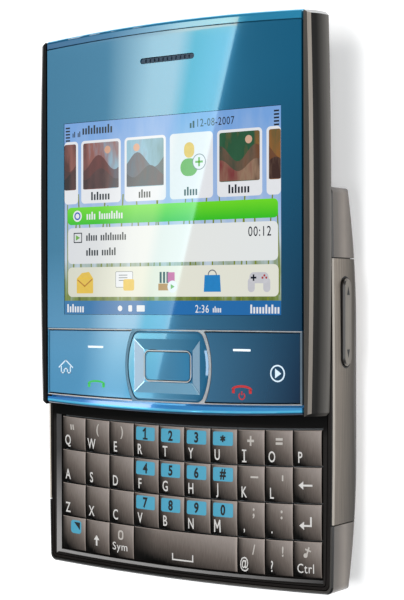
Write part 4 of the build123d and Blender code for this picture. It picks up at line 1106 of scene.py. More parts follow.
SOLID_FINISHES = {
    "base_chassis": BLACK, "keyboard_deck": DECK, "end_caps": CAP, "battery_cover": COVER,
    "battery": WRAP, "main_board": BOARD, "key_mat": SILICONE, "camera": LENS, "screws": STEEL,
    "slide_rails": STEEL, "volume_rocker": ROCKER, "screen_back": INNER, "side_rails": GRAPHITE,
    "screen_housing": HOUSING, "display_module": GLASS, "fascia": WINDOW, "earpiece": GRILLE,
    "key_frame": FRAME_LINES, "left_key_plate": WINDOW, "right_key_plate": WINDOW, "nav_ring": NAV_PAINT,
    "select_key": SELECT,
}


def band_finish() -> BrushedMetal:
    """Brushed metal of the side bands, with painted shade, a painted front edge, and the dark seam and painted shadow
    that run round the volume rocker.
    """
    low, high = box_mm("volume_rocker")
    seam = ((low.y + high.y) / 2, (low.z + high.z) / 2, (high.y - low.y) / 2, (high.z - low.z) / 2)
    return BrushedMetal("band_metal", srgb(127, 118, 108), Grain.LENGTHWAYS, 0.85, 0.36, 0.4, BAND_EDGE, seam)


def dress_solids(nodes: dict, finishes: Finishes) -> None:
    """Gives each CAD node its finish by name; the keys share one."""
    chosen = {**SOLID_FINISHES, "side_bands": band_finish()}
    for name, solid in nodes.items():
        solid.data.materials.clear()
        solid.data.materials.append(finishes.get(chosen.get(name, KEY)))


# ------------------------------------------------------------------ sub-assemblies


class Mark(Enum):
    """How a sign stands on its key."""

    PLAIN = 0
    PATCH = 1


@dataclass(frozen=True)
class KeyLegend:
    """What is printed on one key: its letter, and the sign or number above it."""

    letter: str
    sign: str = ""
    sign_x: float = 0.22
    grow: float = 1.0
    mark: Mark = Mark.PLAIN


NUMBER_KEYS = dict(zip("rtyufghjvbnm", "123*456#7890"))
PUNCTUATION_KEYS = {"comma": ",", "period": ".", "at": "@", "question": "?"}
SIGN_KEYS = {
    "q": ('"', -0.12, 1.15), "w": ("(", 0.05), "e": (")", 0.05), "i": ("+", 0.0, 1.4), "o": ("=", 0.05, 1.4),
    "k": ("-", 0.28, 1.2), "l": ("'", 0.3, 1.1), "comma": (";", 0.22, 1.2), "period": (":", 0.22, 1.25),
    "at": ("/",), "question": ("!", 0.3),
}


def key_legend(key: str) -> KeyLegend | None:
    """What stands on a key, told by the last part of its name.

    Args:
        key: a single letter, or the name of a punctuation mark or of a function.

    Returns:
        Its legend, or None for a key whose sign is drawn by itself.
    """
    if len(key) > 1 and key not in PUNCTUATION_KEYS:
        return None
    letter = PUNCTUATION_KEYS.get(key, key.upper())
    if key in NUMBER_KEYS:
        return KeyLegend(letter, NUMBER_KEYS[key], mark=Mark.PATCH)
    return KeyLegend(letter, *SIGN_KEYS.get(key, ()))


@dataclass
class Keyboard:
    """Thirty-seven pillow keys on four arched rows, with their legends."""

    finishes: Finishes
    half_field: float = 30.2
    row_arch: float = 0.87
    crown: float = 0.16
    roll: float = 0.12
    roll_power: float = 12.0
    grid: int = 17
    near: float = 0.02
    wide_from: float = 10.0
    sharp: float = 50.0
    wall_shade: float = 0.02
    comma_drop: float = 0.15
    letter_size: float = 2.1
    letter_place: Point = (-0.5, -0.5)
    sign_size: float = 1.85
    sign_y: float = 0.38
    number_size: float = 1.95
    patch_size: Point = (4.5, 2.6)
    patch_place: Point = (-0.05, 0.45)
    narrowness: float = 0.68

    def outline(self, node: str) -> tuple[np.ndarray, float, float]:
        """Reads a key's plan and heights from its solid.

        Returns:
            Corners in the order lower left, lower right, upper right, upper left, then foot and top heights.
        """
        points = vertex_array(bpy.data.objects[node].data) / MM
        foot, top = points[:, 2].min(), points[:, 2].max()
        low = points[points[:, 2] < foot + self.near]
        left, right = low[:, 0].min(), low[:, 0].max()
        at_left, at_right = low[low[:, 0] < left + self.near, 1], low[low[:, 0] > right - self.near, 1]
        corners = [(left, at_left.min()), (right, at_right.min()), (right, at_right.max()), (left, at_left.max())]
        return np.array(corners), foot, top

    def height(self, s: np.ndarray, t: np.ndarray, top: float) -> np.ndarray:
        """Height over a key: the top less a shallow bowl turned upside down, less an edge that rolls over.

        The bowl is crown times (s squared plus t squared) / 2, and the edge is roll times (1 less the square
        root of (1 - |s|^p)(1 - |t|^p)).

        Args:
            s: place across the key, from -1 to 1.
            t: place up the key, from -1 to 1.
            top: greatest height of the key.

        Returns:
            The height at each place.
        """
        bowl = self.crown * (s**2 + t**2) / 2
        edge = (1 - np.abs(s) ** self.roll_power) * (1 - np.abs(t) ** self.roll_power)
        return top - bowl - self.roll * (1 - np.sqrt(np.clip(edge, 0, 1)))

    def row_sag(self, half_width: float) -> float:
        """How far a key's middle stands below its ends' chord on the row's common arc."""
        radius = (self.half_field**2 + self.row_arch**2) / (2 * self.row_arch)
        return half_width**2 / (2 * radius)

    def cap(self, node: str) -> None:
        """Builds one pillow key from its solid and puts it in the solid's place.

        The plan is bilinear between the solid's four corners and follows the row's arc; points crowd towards
        the edges by a sine. The border drops to the foot as an upright wall.
        """
        corners, foot, top = self.outline(node)
        half_width = (corners[1, 0] - corners[0, 0]) / 2
        rows = self.grid
        columns = rows * 3 if 2 * half_width > self.wide_from else rows
        s = np.sin(np.linspace(-1, 1, columns) * math.pi / 2)
        t = np.sin(np.linspace(-1, 1, rows) * math.pi / 2)
        s, t = np.meshgrid(s, t)
        u, v = (s + 1) / 2, (t + 1) / 2
        lower = corners[0] * (1 - u)[..., None] + corners[1] * u[..., None]
        upper = corners[3] * (1 - u)[..., None] + corners[2] * u[..., None]
        plan = lower * (1 - v)[..., None] + upper * v[..., None]
        plan[..., 1] -= self.row_sag(half_width) * (1 - s**2)
        sheet = np.concatenate([plan, self.height(s, t, top)[..., None]], axis=-1).reshape(-1, 3)
        border = np.concatenate([
            np.arange(columns), np.arange(2, rows) * columns - 1,
            rows * columns - 1 - np.arange(columns), np.arange(rows - 2, 0, -1) * columns,
        ])
        skirt = sheet[border].copy()
        skirt[:, 2] = foot
        base, count = rows * columns, len(border)
        after = np.roll(np.arange(count), -1)
        walls = np.stack([base + np.arange(count), base + after, border[after], border], axis=1)
        faces = grid_quads(rows, columns).tolist() + walls.tolist() + [list(range(base + count - 1, base - 1, -1))]
        piece = add_piece(f"{node}_pillow", np.concatenate([sheet, skirt]), faces, self.finishes.get(KEY), node)
        smooth(piece, self.sharp)
        layer = piece.data.uv_layers.new(name="UVMap")
        corner = np.zeros(len(piece.data.loops), int)
        piece.data.loops.foreach_get("vertex_index", corner)
        uv = np.stack([u, v], -1).reshape(-1, 2)
        placed = np.concatenate([uv, uv[border]])[corner]
        placed[4 * (rows - 1) * (columns - 1):] = self.wall_shade
        layer.data.foreach_set("uv", placed.ravel())
        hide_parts(node)

    def print_on(self, node: str, name: str, parts: Mesh, place: Point, ink: Ink, layer: int = 1) -> None:
        """Lays flat marks on a key, following its crown.

        Args:
            node: the key's node and body.
            name: name of the new piece.
            parts: the marks, centred on the origin, heights from 0 to 1.
            place: where their middle goes on the key, from -1 to 1 across and up.
            ink: their finish.
            layer: 1 on the key itself, 2 on another mark.
        """
        corners, _, top = self.outline(node)
        middle = corners.mean(0)
        half_x = (corners[1, 0] - corners[0, 0]) / 2
        half_y = (corners[3, 1] - corners[0, 1]) / 2
        lean = (corners[1, 1] - corners[0, 1]) / (2 * half_x)
        points, faces = parts
        x, y = points[:, 0] + place[0] * half_x, points[:, 1] + place[1] * half_y
        z = self.height(x / half_x, y / half_y, top) + (layer - 0.5 + 0.4 * points[:, 2]) * PRINT_STEP
        y = y + lean * x - self.row_sag(half_x) * (1 - (x / half_x) ** 2)
        placed = np.stack([x + middle[0], y + middle[1], z], axis=1)
        piece = add_piece(f"{node}_{name}", placed, faces, self.finishes.get(ink), node)

    def legend(self, node: str, legend: KeyLegend) -> None:
        """Prints a key's letter in its lower left, and its sign or numbered patch above it."""
        letter = lettering(legend.letter, self.letter_size, self.narrowness, 0.01)
        drop = self.comma_drop if legend.letter in ",." else 0.0
        place = (self.letter_place[0], self.letter_place[1] - drop)
        self.print_on(node, "letter", letter, place, LETTER)
        if legend.mark is Mark.PATCH:
            self.print_on(node, "patch", cushion(corner_loop(*self.patch_size, 0.35)), self.patch_place, PATCH)
            number = lettering(legend.sign, self.number_size, 0.8, 0.034)
            self.print_on(node, "number", number, self.patch_place, NUMBER, 2)
        elif legend.sign:
            sign = lettering(legend.sign, self.sign_size * legend.grow, 0.8, 0.022)
            self.print_on(node, "sign", sign, (legend.sign_x, self.sign_y), SIGN)

    def arrow(self, length: float, width: float, head: float, stem: float) -> np.ndarray:
        """Outline of an arrow that points to -X, centred on the origin.

        Args:
            length: its length.
            width: width of its head.
            head: length of its head.
            stem: width of its stem.

        Returns:
            Its seven corners, anticlockwise.
        """
        half = length / 2
        return np.array([
            (-half, 0), (head - half, -width / 2), (head - half, -stem / 2), (half, -stem / 2),
            (half, stem / 2), (head - half, stem / 2), (head - half, width / 2),
        ])

    def special_signs(self) -> None:
        """Prints the signs of the function, shift, symbol, space, delete, enter and control keys."""
        corner = np.array([(-0.75, 0.7), (0.75, -0.8), (0.75, 0.7)])
        self.print_on("key_fn", "patch", cushion(corner_loop(2.6, 2.6, 0.6)), (0.22, 0.42), PATCH)
        self.print_on("key_fn", "corner", flat(corner), (0.3, 0.5), NUMBER, 2)
        up = self.arrow(2.1, 1.4, 0.95, 0.4)[:, ::-1] * np.array([1, -1])
        self.print_on("key_shift", "arrow", flat(up[::-1]), (-0.05, -0.2), LETTER)
        self.print_on("key_sym", "word", lettering("Sym", 1.6, 0.98), (-0.12, -0.42), LETTER)
        bead = corner_loop(1.3, 1.9, 0.6), corner_loop(0.7, 1.2, 0.3)
        self.print_on("key_sym", "bead", ring(*bead, 0, 1), (-0.05, 0.36), SIGN)
        tray = np.array([(-2.35, 0.55), (-2.35, -0.55), (2.35, -0.55), (2.35, 0.55)])
        self.print_on("key_space", "tray", join_parts(strokes(tray, 0.26)), (-0.03, -0.5), LETTER)
        self.print_on("key_backspace", "arrow", flat(self.arrow(2.9, 1.5, 1.0, 0.34)), (-0.12, 0.0), LETTER)
        hook = self.arrow(2.6, 1.5, 1.0, 0.34)
        hook = np.concatenate([hook[:4], [(1.3, 1.6), (0.96, 1.6), (0.96, 0.17)], hook[5:]])
        self.print_on("key_enter", "arrow", flat(hook), (-0.12, -0.18), LETTER)
        self.print_on("key_ctrl", "word", lettering("Ctrl", 1.75, 0.84), (-0.12, -0.5), LETTER)
        note = [disc(0.42, -0.35, -0.6), flat(stroke([(-0.1, -0.5), (0.35, 0.9)], 0.3))]
        note.append(flat(stroke([(-0.45, 0.55), (0.75, 0.15)], 0.28)))
        self.print_on("key_ctrl", "sign", join_parts(note), (0.0, 0.42), SIGN)

    def build(self) -> None:
        """Builds every key and its legends."""
        names = sorted(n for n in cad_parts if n.startswith("key_") and n not in ("key_mat", "key_frame"))
        for node in names:
            self.cap(node)
            legend = key_legend(node.removeprefix("key_"))
            if legend:
                self.legend(node, legend)
        self.special_signs()
        LOG.info("keyboard: %d keys", len(names))


@dataclass
class FrontKeys:
    """Icons on the key plates, the navigation ring's frosted facets and the select key's bright rim."""

    finishes: Finishes
    line: float = 0.25
    home_scale: float = 0.92
    power_drop: float = 1.0
    rim: float = 0.24
    seam: float = 0.15
    facet_reach: float = 2.1
    facet_drop: float = 0.5
    facet_gap: float = 0.1
    facet_margin: float = 0.04

    def icon(self, name: str, parts: list, x: float, y: float, ink: Ink, body: str) -> None:
        """Prints one icon on a key plate.

        Args:
            name: name of the new piece.
            parts: closed flat meshes about the icon's own origin.
            x: where that origin goes across.
            y: where it goes up, counted on the closed phone.
            ink: its finish.
            body: the plate's node and body.
        """
        points, faces = shifted(join_parts(parts), x, y + TRAVEL)
        points[:, 2] = box_mm(body)[1].z + (0.5 + 0.4 * points[:, 2]) * PRINT_STEP
        piece = add_piece(name, points, faces, self.finishes.get(ink), body)

    def icons(self) -> None:
        """Softkey dashes, home, play, call and end signs."""
        left, right = "left_key_plate", "right_key_plate"
        dash = [flat(corner_loop(3.8, 0.4, 0.12))]
        self.icon("left_softkey_dash", dash, -17.25, -24.4, ICON, left)
        self.icon("right_softkey_dash", dash, 16.6, -24.43, ICON, right)
        half_wall = np.array([(0.45, -0.45), (0.45, -1.35), (1.25, -1.35), (1.25, -0.1)])
        walls = np.concatenate([half_wall[::-1] * (-1, 1), half_wall]) * self.home_scale
        roof = np.array([(-1.85, -0.15), (0, 1.35), (1.85, -0.15)]) * self.home_scale
        self.icon("home_sign", strokes(walls, self.line) + strokes(roof, self.line), -24.75, -28.4, PALE_ICON, left)
        triangle = np.array([(-0.55, -0.95), (0.85, 0.0), (-0.55, 0.95)]) * self.home_scale
        self.icon("play_sign", [hoop(1.55, 1.28), flat(triangle)], 24.2, -28.46, PALE_ICON, right)
        self.icon("call_sign", self.handset(2.05, 0.5, 1.3), -17.1, -31.7, GREEN, left)
        power = [flat(stroke([(0, 0.15), (0, 0.85)], 0.26)), self.open_ring(0.62, 0.24)]
        power = [shifted(part, 0, -self.power_drop) for part in power]
        self.icon("end_sign", self.handset(2.1, 0.6, 1.5) + power, 16.6, -31.75, RED, right)

    def handset(self, half: float, thick: float, drop: float) -> list:
        """A handset seen from the side: a shallow arch with a foot at each end.

        The arch is half an ellipse: x = half cos a, y = drop sin a / 2.

        Args:
            half: half of its length.
            thick: its thickness.
            drop: twice the rise of its arch.

        Returns:
            The arch and its feet, as closed flat meshes.
        """
        turns = np.linspace(0.16, math.pi - 0.16, 15)
        arch = np.stack([half * np.cos(turns), drop * np.sin(turns) / 2], axis=1)
        foot = np.array([(0, 0.15), (0.05, -0.55)])
        feet = [flat(stroke(foot * [side, 1] + [side * (half - 0.3), 0], 0.6)) for side in (-1, 1)]
        return [flat(stroke(arch, thick * 0.7))] + feet

    def open_ring(self, radius: float, width: float) -> Mesh:
        """A ring that stays open at its top: an arc from 130 round to 410 degrees."""
        turns = np.linspace(math.radians(130), math.radians(410), 20)
        return flat(stroke(radius * np.stack([np.cos(turns), np.sin(turns)], axis=1), width))

    def facets(self) -> None:
        """Frosted plates on the lower, right and left facets that fall from the ring's top to the select key."""
        low, high = box_mm("select_key")
        top = box_mm("nav_ring")[1].z
        middle = (low + high) / 2
        inner = np.array([high.x - middle.x, high.y - middle.y]) + self.facet_gap
        outer = inner + self.facet_reach - self.facet_gap
        signs = np.array([(-1, -1), (1, -1), (1, 1), (-1, 1)])
        for corner, name, ink in ((0, "lower", FAINT_FACET), (1, "right", FACET), (3, "left", FACET)):
            a, b = signs[corner], signs[(corner + 1) % 4]
            quad = np.array([a * outer, b * outer, b * inner, a * inner], float)
            centre = quad.mean(0)
            quad = centre + (quad - centre) * (1 - self.facet_margin)
            share = (np.abs(quad) - inner).max(1) / (outer - inner).min()
            z = top - self.facet_drop * (1 - share) + 0.5 * PRINT_STEP
            points = np.concatenate([np.c_[quad, z], np.c_[quad, z + 0.4 * PRINT_STEP]])
            points[:, :2] += (middle.x, middle.y)
            faces = grid_quads(2, 4, wrap_columns=True).tolist() + [[4, 5, 6, 7], [3, 2, 1, 0]]
            piece = add_piece(f"nav_facet_{name}", points, faces, self.finishes.get(ink), "nav_ring")

    def select_rim(self) -> None:
        """Bright rim on the raised edge of the select key, and a dark seam inside it."""
        low, high = box_mm("select_key")
        middle = (low + high) / 2
        insets = ((0.0, 1.3), (self.rim, 0.9), (self.rim + self.seam, 0.75))
        outer, inner, seam = (corner_loop(high.x - low.x - 2 * inset, high.y - low.y - 2 * inset, radius, 9)
                              for inset, radius in insets)
        for name, loops, rise, ink in (("select_rim", (outer, inner), 0.03, CHROME),
                                       ("select_seam", (inner, seam), 0.012, NUMBER)):
            points, faces = shifted(ring(*loops, high.z + 0.004, high.z + rise), middle.x, middle.y)
            add_piece(name, points, faces, self.finishes.get(ink), "select_key")

    def build(self) -> None:
        """Builds the signs, facets and rim."""
        self.icons()
        self.facets()
        self.select_rim()


@dataclass
class DisplayPage:
    """Lit page under the window: status line, tiles, bars and small pictures, on a pale meadow."""

    finishes: Finishes
    half_width: float = 25.0
    low: float = -18.06
    high: float = 19.43
    level: float = 16.5
    bar_top: float = -15.43
    blades: int = 26
    blade_reach: float = 24.6
    tile_middle: Point = (5.5, 9.68)
    tile_pitch: float = 10.68
    tile_size: Point = (9.75, 12.25)
    tile_reach: float = 24.98
    first_tile_x: float = -26.4
    picture_size: Point = (8.75, 9.0)
    picture_y: float = 10.8
    label_y: float = 4.95
    message_y: float = 1.15
    icons_y: float = -11.9

    def lay(self, name: str, parts: list, layer: int, finish: LitPage) -> None:
        """Puts a piece on the page, on one of its layers.

        Args:
            name: the piece's name after page_.
            parts: its closed flat meshes, with y counted on the closed phone.
            layer: the layer's number, from 1 at the bottom.
            finish: its finish.
        """
        points, faces = shifted(join_parts(parts), 0, TRAVEL)
        points[:, 2] = self.level + (layer + 0.6 * points[:, 2]) * PAGE_STEP
        piece = add_piece(f"page_{name}", points, faces, self.finishes.get(finish), "screen_half")

    def plate(self, x_low: float, x_high: float, y_low: float, y_high: float, radius: float = 0.0) -> Mesh:
        """Flat rounded plate between two corners.

        Args:
            x_low: its left side.
            x_high: its right side.
            y_low: its lower side.
            y_high: its upper side.
            radius: radius of its corners.

        Returns:
            Its points and faces.
        """
        loop = corner_loop(x_high - x_low, y_high - y_low, max(radius, 0.01), 6 if radius else 2)
        return flat(moved(loop, (x_low + x_high) / 2, (y_low + y_high) / 2))

    def bars(self, x: float, y: float, widths: list, height: float = 0.9) -> list:
        """Upright strokes of uneven height that stand for a few words.

        Args:
            x: where the first word starts.
            y: middle height of the words.
            widths: width of each word.
            height: height of a tall stroke.

        Returns:
            One closed flat mesh for each stroke.
        """
        parts, pitch = [], height * 0.4
        for width in widths:
            count = max(int(round(width / pitch)), 1)
            for k in range(count):
                tall = 1.0 if (k * 5 + count) % 7 in (0, 3) else 0.72
                left = x + k * width / count
                parts.append(self.plate(left, left + 0.6 * width / count, y - height / 2, y + height * (tall - 0.5)))
            x += width + height * 0.45
        return parts

    def numbers(self, text: str, x: float, y: float, size: float) -> list:
        """Figures with their middle at (x, y)."""
        return [shifted(lettering(text, size, 0.8), x, y)]

    def blade(self, k: int) -> Mesh:
        """One bent grass blade: its foot, tip, bend and width sway by sines of its number."""
        x = -24.2 + 1.93 * k + 0.6 * math.sin(5.1 * k)
        foot, tip = -15.5 + 1.4 * math.sin(2.3 * k), 3.5 + 2.2 * math.sin(3.7 * k)
        rise = np.linspace(0, 1, 7)
        across = np.clip(x + 1.2 * math.sin(1.9 * k) * rise**2, -self.blade_reach, self.blade_reach)
        path = np.stack([across, foot + (tip - foot) * rise], axis=1)
        return flat(stroke(path, 0.22 + 0.12 * abs(math.sin(4.3 * k))))

    def background(self) -> None:
        """Meadow, status line and softkey bar."""
        edge = self.half_width
        self.lay("meadow", [self.plate(-edge, edge, self.low, self.high)], 1, MEADOW)
        self.lay("blades", [self.blade(k) for k in range(self.blades)], 2, BLADE)
        self.lay("softkey_bar", [self.plate(-edge, edge, self.low, self.bar_top)], 3, SOFT_BAR)
        rungs = np.arange(15.9, 19.0, 0.62)
        signals = [self.plate(x - 0.55, x + 0.55, y, y + 0.32) for x in (-24.1, 24.1) for y in rungs]
        self.lay("signal", signals, 4, DARK_INK)
        status = self.bars(-20.4, 17.9, [7.6], 1.7) + self.bars(-22.9, 17.2, [0.8, 0.8], 1.1)
        status += self.numbers("12-08-2007", 11.0, 17.5, 1.5) + self.bars(5.2, 17.3, [1.3], 1.3)
        self.lay("status_words", status, 4, DARK_INK)
        marks = self.bars(-24.3, -16.9, [4.4], 1.6) + self.bars(18.5, -16.95, [6.4], 1.6)
        marks += self.numbers("2:36", 7.9, -16.95, 1.5) + self.bars(10.3, -17.05, [2.0], 1.1)
        marks += [disc(0.55, -11.2, -16.9, 16), self.plate(-9.2, -8.3, -17.5, -16.3, 0.2)]
        marks += [self.plate(-7.2, -5.3, -17.5, -16.3, 0.15)]
        self.lay("bar_marks", marks, 5, WHITE_INK)

    def tiles(self) -> None:
        """Row of white-edged tiles; each but the one with the figure shows a plain picture over a short label."""
        half_x, half_y = self.tile_size[0] / 2, self.tile_size[1] / 2
        middle_y, y, reach = self.tile_middle[1], self.picture_y, self.tile_reach
        frames = [self.plate(self.tile_middle[0] - half_x, self.tile_middle[0] + half_x, middle_y - half_y,
                             middle_y + half_y, 0.8)]
        labels, skies, far, near, suns = [], [], [], [], []
        for k, label in ((-3, 0.0), (-2, 4.8), (-1, 3.0), (1, 4.8), (2, 0.0)):
            x = self.tile_middle[0] + self.tile_pitch * k if k > -3 else self.first_tile_x
            low, high = max(x - half_x, -reach), min(x + half_x, reach)
            frames.append(self.plate(low, high, middle_y - half_y, middle_y + half_y, 0.8))
            a, b = max(x - self.picture_size[0] / 2, -reach), min(x + self.picture_size[0] / 2, reach)
            skies.append(self.plate(a, b, y - 4.5, y + 4.5, 0.4))
            far.append(self.hill(a, b, y - 4.4, y + 0.6, 1.5, 0.5 + k))
            near.append(self.hill(a, b, y - 4.4, y - 1.6, 1.1, 2.4 - k))
            if label:
                suns.append(disc(0.75, x + 2.2 * math.sin(2 * k), y + 3.0))
                labels += self.bars(x - label / 2, self.label_y, [label], 1.6)
        labels += self.bars(3.9, self.label_y, [3.2], 1.6)
        layers = (("frames", frames, 3, WHITE_INK), ("skies", skies, 4, TILE_SKY), ("suns", suns, 5, TILE_DISC),
                  ("far_hills", far, 6, TILE_FAR), ("near_hills", near, 7, TILE_HILL), ("labels", labels, 4, DARK_INK))
        for name, parts, layer, finish in layers:
            self.lay(f"tile_{name}", parts, layer, finish)

    def figure(self) -> None:
        """Figure of a person with a plus badge, on the tile that has no picture."""
        self.lay("add_body", [flat(moved(corner_loop(3.9, 3.3, 1.6), 5.0, 9.4))], 4, GREEN_INK)
        self.lay("add_head", [flat(moved(corner_loop(2.3, 2.9, 1.1), 5.05, 12.6))], 5, YELLOW_INK)
        self.lay("add_badge_rim", [hoop(1.5, 1.35, 7.3, 10.3)], 6, GREY_INK)
        self.lay("add_badge", [disc(1.35, 7.3, 10.3)], 6, WHITE_INK)
        plus = [self.plate(6.45, 8.15, 10.1, 10.5), self.plate(7.1, 7.5, 9.45, 11.15)]
        self.lay("add_plus", plus, 7, GREEN_INK)

    def hill(self, left: float, right: float, foot: float, top: float, rise: float, phase: float) -> Mesh:
        """Rolling ground: top plus rise times the sine of 0.8 x plus phase, over a level foot.

        Args:
            left: its left end.
            right: its right end.
            foot: height of its foot.
            top: middle height of its waves.
            rise: how far the waves rise and fall.
            phase: where the waves start.

        Returns:
            Its points and faces.
        """
        x = np.linspace(right, left, 15)
        crest = top + rise * np.sin(0.8 * (x - left) + phase)
        return flat(np.concatenate([np.stack([x, crest], axis=1), [(left, foot), (right, foot)]]))

    def message_bar(self) -> None:
        """Green bar with a round badge."""
        y = self.message_y
        self.lay("message_bar", [self.plate(-24.2, 24.4, -0.55, 2.87, 0.9)], 4, GREEN_BAR)
        self.lay("message_badge", [disc(1.1, -21.7, y)], 5, WHITE_INK)
        self.lay("message_sign", [hoop(0.78, 0.48, -21.7, y)], 6, BLUE_INK)
        self.lay("message_words", self.bars(-19.4, y, [2.4, 6.0], 1.5), 5, WHITE_INK)

    def player_panel(self) -> None:
        """Pale panel with a play sign, two lines and a counter."""
        self.lay("player_panel", [self.plate(-24.1, 24.4, -8.2, -1.18, 1.0)], 4, PANEL)
        box = ring(corner_loop(2.1, 2.0, 0.1), corner_loop(1.7, 1.6, 0.05), 0, 1)
        triangle = flat(moved([(-0.5, -0.55), (0.55, 0), (-0.5, 0.55)], -21.6, -3.1))
        self.lay("player_box", [shifted(box, -21.6, -3.1)], 5, DARK_INK)
        self.lay("player_sign", [triangle], 5, GREEN_INK)
        words = self.bars(-19.5, -3.0, [2.9, 6.4], 1.5) + self.bars(-19.5, -5.9, [3.2, 3.6], 1.5)
        self.lay("player_words", words + self.numbers("00:12", 20.5, -2.9, 1.85), 5, DARK_INK)

    def icon_row(self) -> None:
        """Pale panel with five small pictures: letter, note, mixer, bag and gamepad."""
        y = self.icons_y
        self.lay("icon_panel", [self.plate(-24.1, 24.5, -14.68, -8.89, 1.0)], 4, ICON_PANEL)
        letter = [self.plate(-21.9, -17.8, y - 2.1, y + 0.9, 0.2)]
        letter.append(flat([(-21.9, y + 0.8), (-17.8, y + 0.8), (-18.8, y + 2.1), (-20.6, y + 1.9)]))
        self.lay("letter_picture", letter, 5, YELLOW_INK)
        fold = np.array([(-21.6, y + 0.5), (-19.9, y - 0.7), (-18.1, y + 0.6)])
        self.lay("letter_fold", strokes(fold, 0.25), 6, AMBER_INK)
        edge = ring(corner_loop(4.2, 3.1, 0.25), corner_loop(4.0, 2.9, 0.2), 0, 1)
        self.lay("note_edge", [shifted(edge, -10.2, y + 0.55)], 5, GREY_INK)
        self.lay("note_sheet", [self.plate(-12.2, -8.2, y - 0.9, y + 2.0, 0.2)], 5, WHITE_INK)
        self.lay("note_lines", [self.plate(-11.5, -9.4, y + k, y + k + 0.16) for k in (0.3, 0.8, 1.3)], 6, GREY_INK)
        self.lay("note_bubble", [self.plate(-10.4, -7.8, y - 1.6, y + 0.6, 0.4)], 7, YELLOW_INK)
        self.lay("mixer_bars", [self.plate(x, x + 0.5, y - 0.2, y + 1.9) for x in (-1.8, -1.0, -0.2)], 5, DARK_INK)
        self.lay("mixer_base", [self.plate(-2.1, 0.4, y - 1.6, y - 0.3, 0.1)], 5, AMBER_INK)
        self.lay("mixer_side", [self.plate(0.1, 1.7, y - 0.1, y + 1.8, 0.1)], 6, MAGENTA_INK)
        self.lay("mixer_badge", [disc(1.15, 1.2, y - 0.9)], 7, WHITE_INK)
        self.lay("mixer_play", [flat(moved([(-0.4, -0.5), (0.5, 0), (-0.4, 0.5)], 1.2, y - 0.9))], 8, GREEN_INK)
        self.lay("bag", [flat([(8.3, y - 1.9), (12.1, y - 1.9), (11.9, y + 1.2), (8.5, y + 1.2)])], 5, BAG_INK)
        self.lay("bag_handle", [flat(stroke(self.open_arc(10.2, y + 1.2, 0.9), 0.22))], 5, GREY_INK)
        pad = [self.plate(18.3, 22.4, y - 0.4, y + 1.6, 0.9)]
        pad += [flat(moved(corner_loop(1.5, 2.6, 0.7), x, y - 0.7)) for x in (18.7, 22.0)]
        self.lay("pad_body", pad, 5, PALE_INK)
        cross = [self.plate(18.6, 19.8, y + 0.45, y + 0.8), self.plate(19.02, 19.37, y + 0.03, y + 1.22)]
        self.lay("pad_cross", cross, 6, DARK_INK)
        dots = [disc(0.22, 21.5 + dx, y + 0.6 + dy, 12) for dx, dy in ((0.4, 0), (-0.4, 0), (0, 0.4))]
        self.lay("pad_dots", dots, 6, RED_INK)

    def open_arc(self, x: float, y: float, radius: float) -> np.ndarray:
        """Half circle above (x, y)."""
        turns = np.linspace(0, math.pi, 14)
        return np.stack([x + radius * np.cos(turns), y + radius * np.sin(turns)], axis=1)

    def build(self) -> None:
        """Builds the page, layer by layer."""
        for part in (self.background, self.tiles, self.figure, self.message_bar, self.player_panel, self.icon_row):
            part()


@dataclass
class RockerSigns:
    """Two small triangles at the ends of the volume rocker."""

    finishes: Finishes
    length: float = 1.6
    width: float = 1.0
    inset: float = 2.2
    proud: float = 0.002
    thickness: float = 0.004

    def build(self) -> None:
        """Prints an upward triangle near the upper end and a downward one near the lower end."""
        low, high = box_mm("volume_rocker")
        half, middle_z = self.width / 2, (low.z + high.z) / 2
        parts = []
        for end, y in ((1, high.y - self.inset), (-1, low.y + self.inset)):
            reach = end * self.length / 2
            points, faces = flat(np.array([(-half, -reach), (half, -reach), (0, reach)])[::end])
            x = high.x + self.proud + self.thickness * points[:, 2]
            parts.append((np.stack([x, points[:, 1] + y, middle_z - points[:, 0]], axis=1), faces))
        piece = add_piece("rocker_signs", *join_parts(parts), self.finishes.get(NUMBER), "volume_rocker")


